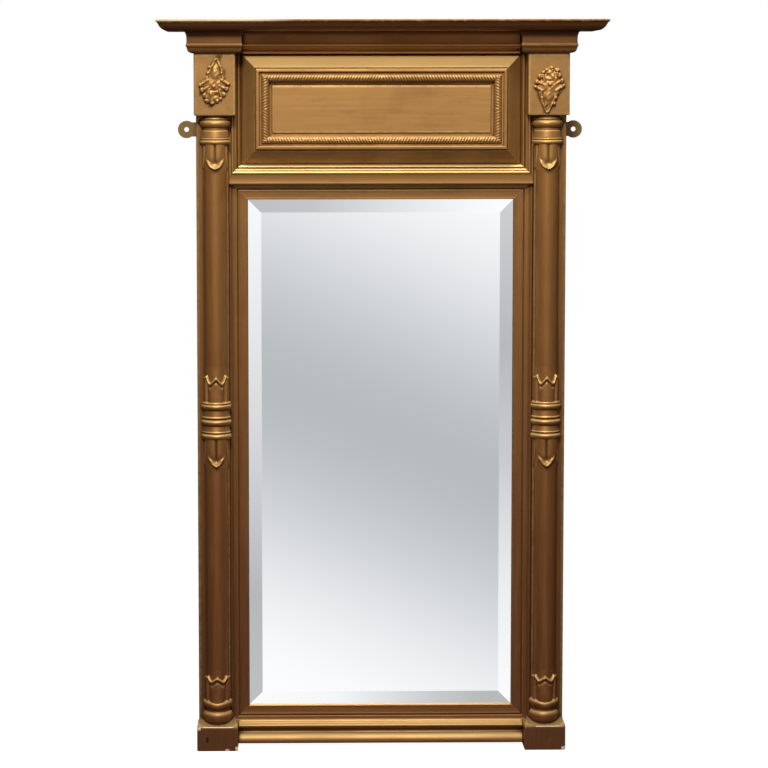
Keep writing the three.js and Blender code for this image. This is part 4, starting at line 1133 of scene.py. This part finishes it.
# ------------------------------------------------------------------ cast ornaments
# Strokes of the cluster, its narrow end up: start, end, half widths at both, heights at both.
STROKES = [
    ((2.5, 41), (-8, 20), (3.0, 3.4), (6.5, 8.6)),
    ((-8, 20), (-14, 6), (3.4, 4.6), (8.6, 7.6)),
    ((4.5, 41), (12, 25), (2.8, 3.2), (6.5, 8.2)),
    ((12, 25), (16, 6), (3.2, 4.6), (8.2, 7.6)),
    ((-12, 2), (-24, -6), (4.6, 3.6), (8.8, 7.4)),
    ((-9, -9), (-19, -15), (3.2, 3.4), (8.6, 8.2)),
    ((-9, -14), (-14, -30), (3.2, 4.2), (8.4, 8.4)),
    ((13, 2), (24, -4), (4.6, 3.6), (8.8, 7.4)),
    ((9, -8), (19, -13), (3.2, 3.4), (8.6, 8.2)),
    ((8, -13), (12, -26), (3.0, 4.0), (8.2, 8.2)),
    ((-3, -20), (-5, -36), (2.8, 3.8), (7.4, 7.8)),
    ((3, 34), (1, 6), (6.0, 15.0), (6.2, 8.0)),
    ((-1, -6), (-3, -25), (24.0, 16.0), (8.4, 8.0)),
]
# Rounded knobs: centre, half sizes, turn in degrees, height.
KNOBS = [
    ((1.5, 12), (10, 14), 0, 9.8),
    ((-9.5, 26), (3.4, 3.8), 0, 9.4),
    ((-12, 15), (3.8, 4.2), 0, 9.8),
    ((11.5, 27), (3.2, 3.6), 0, 9.0),
    ((14, 15), (3.6, 4.4), 0, 9.6),
    ((-1, -9.5), (5.4, 5.2), 0, 11.2),
    ((-26, -7), (4.6, 4.0), 35, 8.4),
    ((-23, -16), (4.4, 5.6), 10, 8.6),
    ((-18, -26), (4.8, 5.6), -15, 8.8),
    ((-14, -36), (6.0, 4.6), -10, 9.2),
    ((-4, -40), (5.6, 3.8), 8, 8.2),
    ((5, -36), (4.6, 4.4), 25, 7.6),
    ((26, -5), (4.2, 4.0), -35, 8.4),
    ((23, -14), (4.4, 5.2), -8, 8.6),
    ((17, -24), (4.8, 5.4), 20, 8.8),
    ((11, -32), (4.6, 3.8), 35, 8.0),
    ((-6, -24), (4.2, 6.0), -8, 9.4),
    ((-12, -21), (3.4, 6.4), -28, 9.6),
    ((5, -20), (3.2, 5.0), 12, 9.0),
]
# Hollows: centre, half sizes, depth.
POCKETS = [
    ((3.5, 34), (4.0, 7.0), 3.4),
    ((4, -26), (6.0, 5.0), 2.8),
    ((-1, -16.5), (5.0, 2.2), 3.0),
    ((-23, -6), (2.6, 1.4), 2.0),
    ((22, -9), (2.6, 1.4), 2.0),
    ((-22, -16), (1.5, 2.4), 1.8),
    ((-17, -27), (1.5, 2.6), 1.8),
    ((22, -14), (1.5, 2.2), 1.7),
    ((16, -25), (1.5, 2.4), 1.7),
    ((-14, -37), (2.6, 1.3), 1.6),
]


def knob_height(x, z, centre, size, turn):
    """A rounded lobe: 1 in its middle, 0 at its edge."""
    cosine, sine = math.cos(math.radians(turn)), math.sin(math.radians(turn))
    u = ((x - centre[0]) * cosine + (z - centre[1]) * sine) / size[0]
    v = (-(x - centre[0]) * sine + (z - centre[1]) * cosine) / size[1]
    return np.sqrt(np.clip(1.0 - u * u - v * v, 0.0, 1.0))


def stroke_height(x, z, start, end, widths, lifts):
    """A tapering rounded ridge from start to end."""
    along_x, along_z = end[0] - start[0], end[1] - start[1]
    share = ((x - start[0]) * along_x + (z - start[1]) * along_z) / (along_x ** 2 + along_z ** 2)
    share = np.clip(share, 0.0, 1.0)
    away = np.hypot(x - start[0] - share * along_x, z - start[1] - share * along_z)
    width = widths[0] + (widths[1] - widths[0]) * share
    lift = lifts[0] + (lifts[1] - lifts[0]) * share
    return lift * np.sqrt(np.clip(1.0 - (away / width) ** 2, 0.0, 1.0))


def cluster_height(x, z):
    """Height of the whole cluster over the face of its block."""
    height = np.zeros_like(x)
    for stroke in STROKES:
        height = np.maximum(height, stroke_height(x, z, *stroke))
    for centre, size, turn, lift in KNOBS:
        height = np.maximum(height, lift * knob_height(x, z, centre, size, turn))
    lumps = np.sin(0.42 * x + 1.3) * np.sin(0.36 * z + 0.4)
    lumps += 0.5 * np.sin(0.6 * x - 0.3 * z) * np.sin(0.5 * z)
    height = softened(np.where(height > 3.0, height + 0.6 * lumps, height), 3)
    for centre, size, depth in POCKETS:
        away = np.hypot((x - centre[0]) / size[0], (z - centre[1]) / size[1])
        height = height - depth * bump(away, 0.0, 0.8)
    veins = 0.14 * np.sin(1.5 * x + 0.9 * z) * np.sin(0.7 * z - 0.4 * x)
    return np.clip(np.where(height > 3.0, height + veins, height), 0.0, 11.7)


def kept_cells(front, keep):
    """Vertices and quads of the grid cells whose four corners are kept."""
    index = -np.ones(keep.shape, int)
    vertices = []
    faces = []

    def corner(row, column):
        if index[row, column] < 0:
            index[row, column] = len(vertices)
            vertices.append(front[row, column])
        return int(index[row, column])

    cells = keep[:-1, :-1] & keep[1:, :-1] & keep[:-1, 1:] & keep[1:, 1:]
    for row, column in zip(*np.nonzero(cells)):
        faces.append((corner(row, column), corner(row, column + 1), corner(row + 1, column + 1),
                      corner(row + 1, column)))
    return vertices, faces


def add_rim(vertices, faces, y):
    """Carries the open edge of a sheet back to a plane."""
    edges = {}
    for face in faces:
        for edge in zip(face, face[1:] + face[:1]):
            edges[edge] = True
    lowered = {}
    for start, end in [edge for edge in edges if (edge[1], edge[0]) not in edges]:
        for vertex in (start, end):
            if vertex not in lowered:
                lowered[vertex] = len(vertices)
                vertices.append(np.array((vertices[vertex][0], y, vertices[vertex][2])))
        faces.append((end, start, lowered[start], lowered[end]))


def ornament(side):
    """The cast cluster on a corner block; the right one is fixed the other way up."""
    half_x, half_z = ORNAMENT_HALF
    x, z = np.meshgrid(np.arange(-half_x, half_x + 0.01, ORNAMENT_PITCH),
                       np.arange(-half_z, half_z + 0.01, ORNAMENT_PITCH))
    height = cluster_height(x, z)
    turn = -SIGNS[side]
    front = place(SIGNS[side] * COLUMN_X + turn * x, BLOCK_DEPTH + height, ORNAMENT_Z[side] + turn * z)
    vertices, faces = kept_cells(front, height > 0.9)
    add_rim(vertices, faces, (WALL - BLOCK_DEPTH - 0.05) * MM)
    piece = make_closed("ornament_cast_" + side, vertices, faces, gilt_carved, 60.0)
    finish_piece(piece, ["ornament_" + side], 8)


# ------------------------------------------------------------------ mirror plate, nails and solids that stay
def mirror_plate():
    """The plate with its bevel."""
    half = SIGHT_HALF + PLATE_MARGIN
    low = SIGHT_BOTTOM - PLATE_MARGIN
    high = SIGHT_TOP + PLATE_MARGIN
    front = PLATE_BACK + PLATE_THICKNESS
    levels = [(0.0, PLATE_BACK), (0.0, front - BEVEL_DROP), (BEVEL_WIDTH - 0.6, front - 0.06),
              (BEVEL_WIDTH + 0.5, front)]
    rows = []
    for inset, depth in levels:
        x, bottom, top = half - inset, low + inset, high - inset
        rows.append(place((-x, x, x, -x), depth, (bottom, bottom, top, top)))
    piece = make_closed("plate_bevelled", rows, tube_faces(len(rows), 4), plate_material, 0.3)
    attach(piece, ["mirror_plate"])


# Half section of a nail head: radius, and height as a share of its rise.
NAIL_PROFILE = ((1.4, 0.9), (2.5, 0.5), (3.1, -0.3))


def nail_head(x, y, z):
    """Vertices and faces of one domed head on the back of a board, in metres."""
    vertices = []
    for radius, lift in NAIL_PROFILE:
        for turn in np.linspace(0.0, 2.0 * math.pi, NAIL_SIDES, endpoint=False):
            vertices.append((x + radius * MM * math.cos(turn), y + lift * NAIL_RISE * MM,
                             z + radius * MM * math.sin(turn)))
    top = len(vertices)
    vertices.append((x, y + NAIL_RISE * MM, z))
    faces = grid_faces(len(NAIL_PROFILE), NAIL_SIDES, wrap=True)
    faces += [(step, top, (step + 1) % NAIL_SIDES) for step in range(NAIL_SIDES)]
    return np.array(vertices), faces


def nail_heads():
    """Heads of the nails that hold the backboards, along both ends of each board."""
    heads = []
    for board in ("backboard_1", "backboard_2"):
        low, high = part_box(board)
        heights = np.linspace(low[2] + NAIL_END * MM, high[2] - NAIL_END * MM, NAIL_ROWS)
        for x in (low[0] + NAIL_INSET * MM, high[0] - NAIL_INSET * MM):
            for number, z in enumerate(heights):
                shift = 0.0012 * math.sin(7.0 * number + 40.0 * x)
                heads.append(nail_head(x + shift, high[1], z))
    piece = make_closed("backboard_nails", *merge_parts(heads), screw_material, 60.0)
    attach(piece, [])


STAYING = {
    gilt_across: ("frieze_ground",),
    wood_upright: ("stile_left", "stile_right", "plate_batten_left", "plate_batten_right"),
    wood_across: ("rail_bottom", "rail_middle", "rail_top", "backboard_1", "backboard_2", "cornice_core",
                  "top_board"),
    ear_material: ("ear_left", "ear_right"),
    screw_material: ("ear_screw_left_1", "ear_screw_left_2", "ear_screw_right_1", "ear_screw_right_2"),
}


def dress_solids():
    """Gives the solids that stay their materials."""
    for material, names in STAYING.items():
        for name in names:
            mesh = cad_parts[name].data
            mesh.materials.clear()
            mesh.materials.append(material)


for build in (sight_moulding, frieze_splay, tablet_frame, tablet_board, frieze_border, rail_moulding,
              bed_middle, corona, mirror_plate):
    build()
for side_name in SIGNS:
    for build in (bed_block, corner_block, base_block, pilaster, capital, collar, column_base, shafts,
                  ornament):
        build(side_name)
nail_heads()
dress_solids()
mark_crevices(gilt_pieces)


# ------------------------------------------------------------------ stage, light and camera
IMAGE = 768.0
CAMERA_X = -0.1732
CAMERA_DISTANCE = 5.0
CAMERA_Z = 1.2549
CAMERA_TURN = 0.718
CAMERA_PITCH = 5.105
CAMERA_ROLL = -0.068
FOCAL_PIXELS = 2631.0
SHIFT_PIXELS = 62.0
SENSOR = 36.0
FLOOR_HALF = 6.0
FLOOR_GLOW = 0.93
WHITE = (1.0, 1.0, 1.0)
LAMP_COLOUR = (1.0, 0.96, 0.90)


def make_camera():
    """The camera in front of the mirror, as fitted to the photograph."""
    data = bpy.data.cameras.new("camera")
    data.sensor_width = SENSOR
    data.lens = FOCAL_PIXELS / IMAGE * SENSOR
    data.shift_x = SHIFT_PIXELS / IMAGE
    data.shift_y = -SHIFT_PIXELS / IMAGE
    camera = bpy.data.objects.new("camera", data)
    bpy.context.scene.collection.objects.link(camera)
    turn, pitch, roll_angle = (math.radians(v) for v in (CAMERA_TURN, CAMERA_PITCH, CAMERA_ROLL))
    forward = Vector((math.sin(turn) * math.cos(pitch), math.cos(turn) * math.cos(pitch), -math.sin(pitch)))
    across = Vector((math.cos(turn), -math.sin(turn), 0.0))
    upward = across.cross(forward)
    right = across * math.cos(roll_angle) + upward * math.sin(roll_angle)
    above = upward * math.cos(roll_angle) - across * math.sin(roll_angle)
    camera.matrix_world = Matrix((
        (right.x, above.x, -forward.x, CAMERA_X),
        (right.y, above.y, -forward.y, WALL * MM - CAMERA_DISTANCE),
        (right.z, above.z, -forward.z, CAMERA_Z),
        (0.0, 0.0, 0.0, 1.0),
    ))
    bpy.context.scene.camera = camera


def area_light(name, place_at, aim, size, power):
    """A rectangular lamp aimed at a point."""
    data = bpy.data.lights.new(name, "AREA")
    data.shape = "RECTANGLE"
    data.size, data.size_y = size
    data.energy = power
    data.color = LAMP_COLOUR
    lamp = bpy.data.objects.new(name, data)
    lamp.location = place_at
    lamp.rotation_euler = (Vector(aim) - Vector(place_at)).to_track_quat("-Z", "Y").to_euler()
    bpy.context.scene.collection.objects.link(lamp)


def screen_tone(tree, level, sideways):
    """What the plate shows: a pale screen with a slanting grey band, and other tones for each bevel."""
    band = plus(tree, level, times(tree, sideways, 0.42))
    band = unsigned(tree, plus(tree, band, 0.116))
    tone = mix(tree, span(tree, band, 0.0, 0.125), (0.50, 0.522, 0.54), (1.02, 1.02, 1.03))
    fall = span(tree, level, -0.042, -0.242, smoothly=False)
    run = span(tree, sideways, -0.015, 0.08, smoothly=False)
    left = ramp(tree, fall, [(0.0, 0.98), (0.44, 0.72), (0.78, 0.49), (1.0, 0.54)])
    right = ramp(tree, fall, [(0.0, 0.65), (0.3, 0.50), (0.53, 0.62), (0.63, 0.73), (0.78, 0.87),
                              (1.0, 1.0)])
    top = ramp(tree, run, [(0.0, 0.54), (0.25, 0.58), (0.57, 0.78), (0.89, 0.96), (1.0, 1.0)])
    foot = ramp(tree, run, [(0.0, 1.0), (0.35, 0.95), (0.8, 0.6), (1.0, 0.5)])
    tone = mix(tree, span(tree, level, 0.03, 0.08), tone, top)
    tone = mix(tree, span(tree, level, -0.28, -0.33), tone, foot)
    tone = mix(tree, span(tree, sideways, -0.08, -0.13), tone, left)
    return mix(tree, span(tree, sideways, 0.13, 0.18), tone, right)


def make_world():
    """A white ground for the camera, a dim room for the gilding and a pale one for the plate."""
    world = bpy.data.worlds.new("studio")
    bpy.context.scene.world = world
    world.use_nodes = True
    tree = world.node_tree
    tree.nodes.clear()
    parts = parts_of(tree, tree.nodes.new("ShaderNodeTexCoord").outputs["Generated"])
    ahead = larger(tree, times(tree, parts["Y"], -1.0), 0.05)
    level = calculate(tree, "DIVIDE", parts["Z"], ahead)
    sideways = calculate(tree, "DIVIDE", parts["X"], ahead)
    window = times(tree, span(tree, level, -0.62, -0.44), span(tree, level, 0.34, 0.2))
    window = times(tree, window, span(tree, unsigned(tree, sideways), 0.46, 0.33))
    ray = tree.nodes.new("ShaderNodeLightPath").outputs
    walls = mix(tree, ray["Is Singular Ray"], (0.07, 0.062, 0.055), (0.80, 0.81, 0.83))
    room = mix(tree, span(tree, parts["Z"], 0.42, 0.72), walls, (0.95, 0.93, 0.90))
    reflected = mix(tree, window, room, screen_tone(tree, level, sideways))
    around = mix(tree, span(tree, parts["Z"], -0.2, 0.9), (0.10, 0.085, 0.07), (0.30, 0.28, 0.26))
    light = mix(tree, ray["Is Glossy Ray"], around, reflected)
    seen = larger(tree, ray["Is Camera Ray"], ray["Is Transmission Ray"])
    surface = add(tree, "ShaderNodeBackground", Color=mix(tree, seen, light, WHITE), Strength=1.0)
    add(tree, "ShaderNodeOutputWorld", Surface=surface.outputs[0])


def make_floor():
    """A floor that looks white and takes a faint shadow."""
    half = FLOOR_HALF
    material, tree = new_material("floor")
    ray = tree.nodes.new("ShaderNodeLightPath").outputs
    seen = larger(tree, ray["Is Camera Ray"], ray["Is Transmission Ray"])
    shown = add(tree, "ShaderNodeEmission", Color=WHITE, Strength=times(tree, seen, FLOOR_GLOW))
    matt = add(tree, "ShaderNodeBsdfDiffuse", Color=(0.3, 0.29, 0.28))
    both = tree.nodes.new("ShaderNodeAddShader")
    connect(tree, both.inputs[0], matt.outputs[0])
    connect(tree, both.inputs[1], shown.outputs[0])
    add(tree, "ShaderNodeOutputMaterial", Surface=both.outputs[0])
    corners = [(-half, -half, 0.0), (half, -half, 0.0), (half, half, 0.0), (-half, half, 0.0)]
    floor = make_object("floor", corners, [(0, 1, 2, 3)], material)
    floor.visible_glossy = False


bpy.context.scene.view_settings.view_transform = "Standard"
make_camera()
make_world()
make_floor()
area_light("front", (-0.4, -2.9, 2.95), (0.0, 0.0, 1.0), (0.6, 0.5), 100.0)
area_light("above", (0.15, -1.1, 2.75), (0.0, 0.0, 0.9), (0.9, 0.4), 22.0)
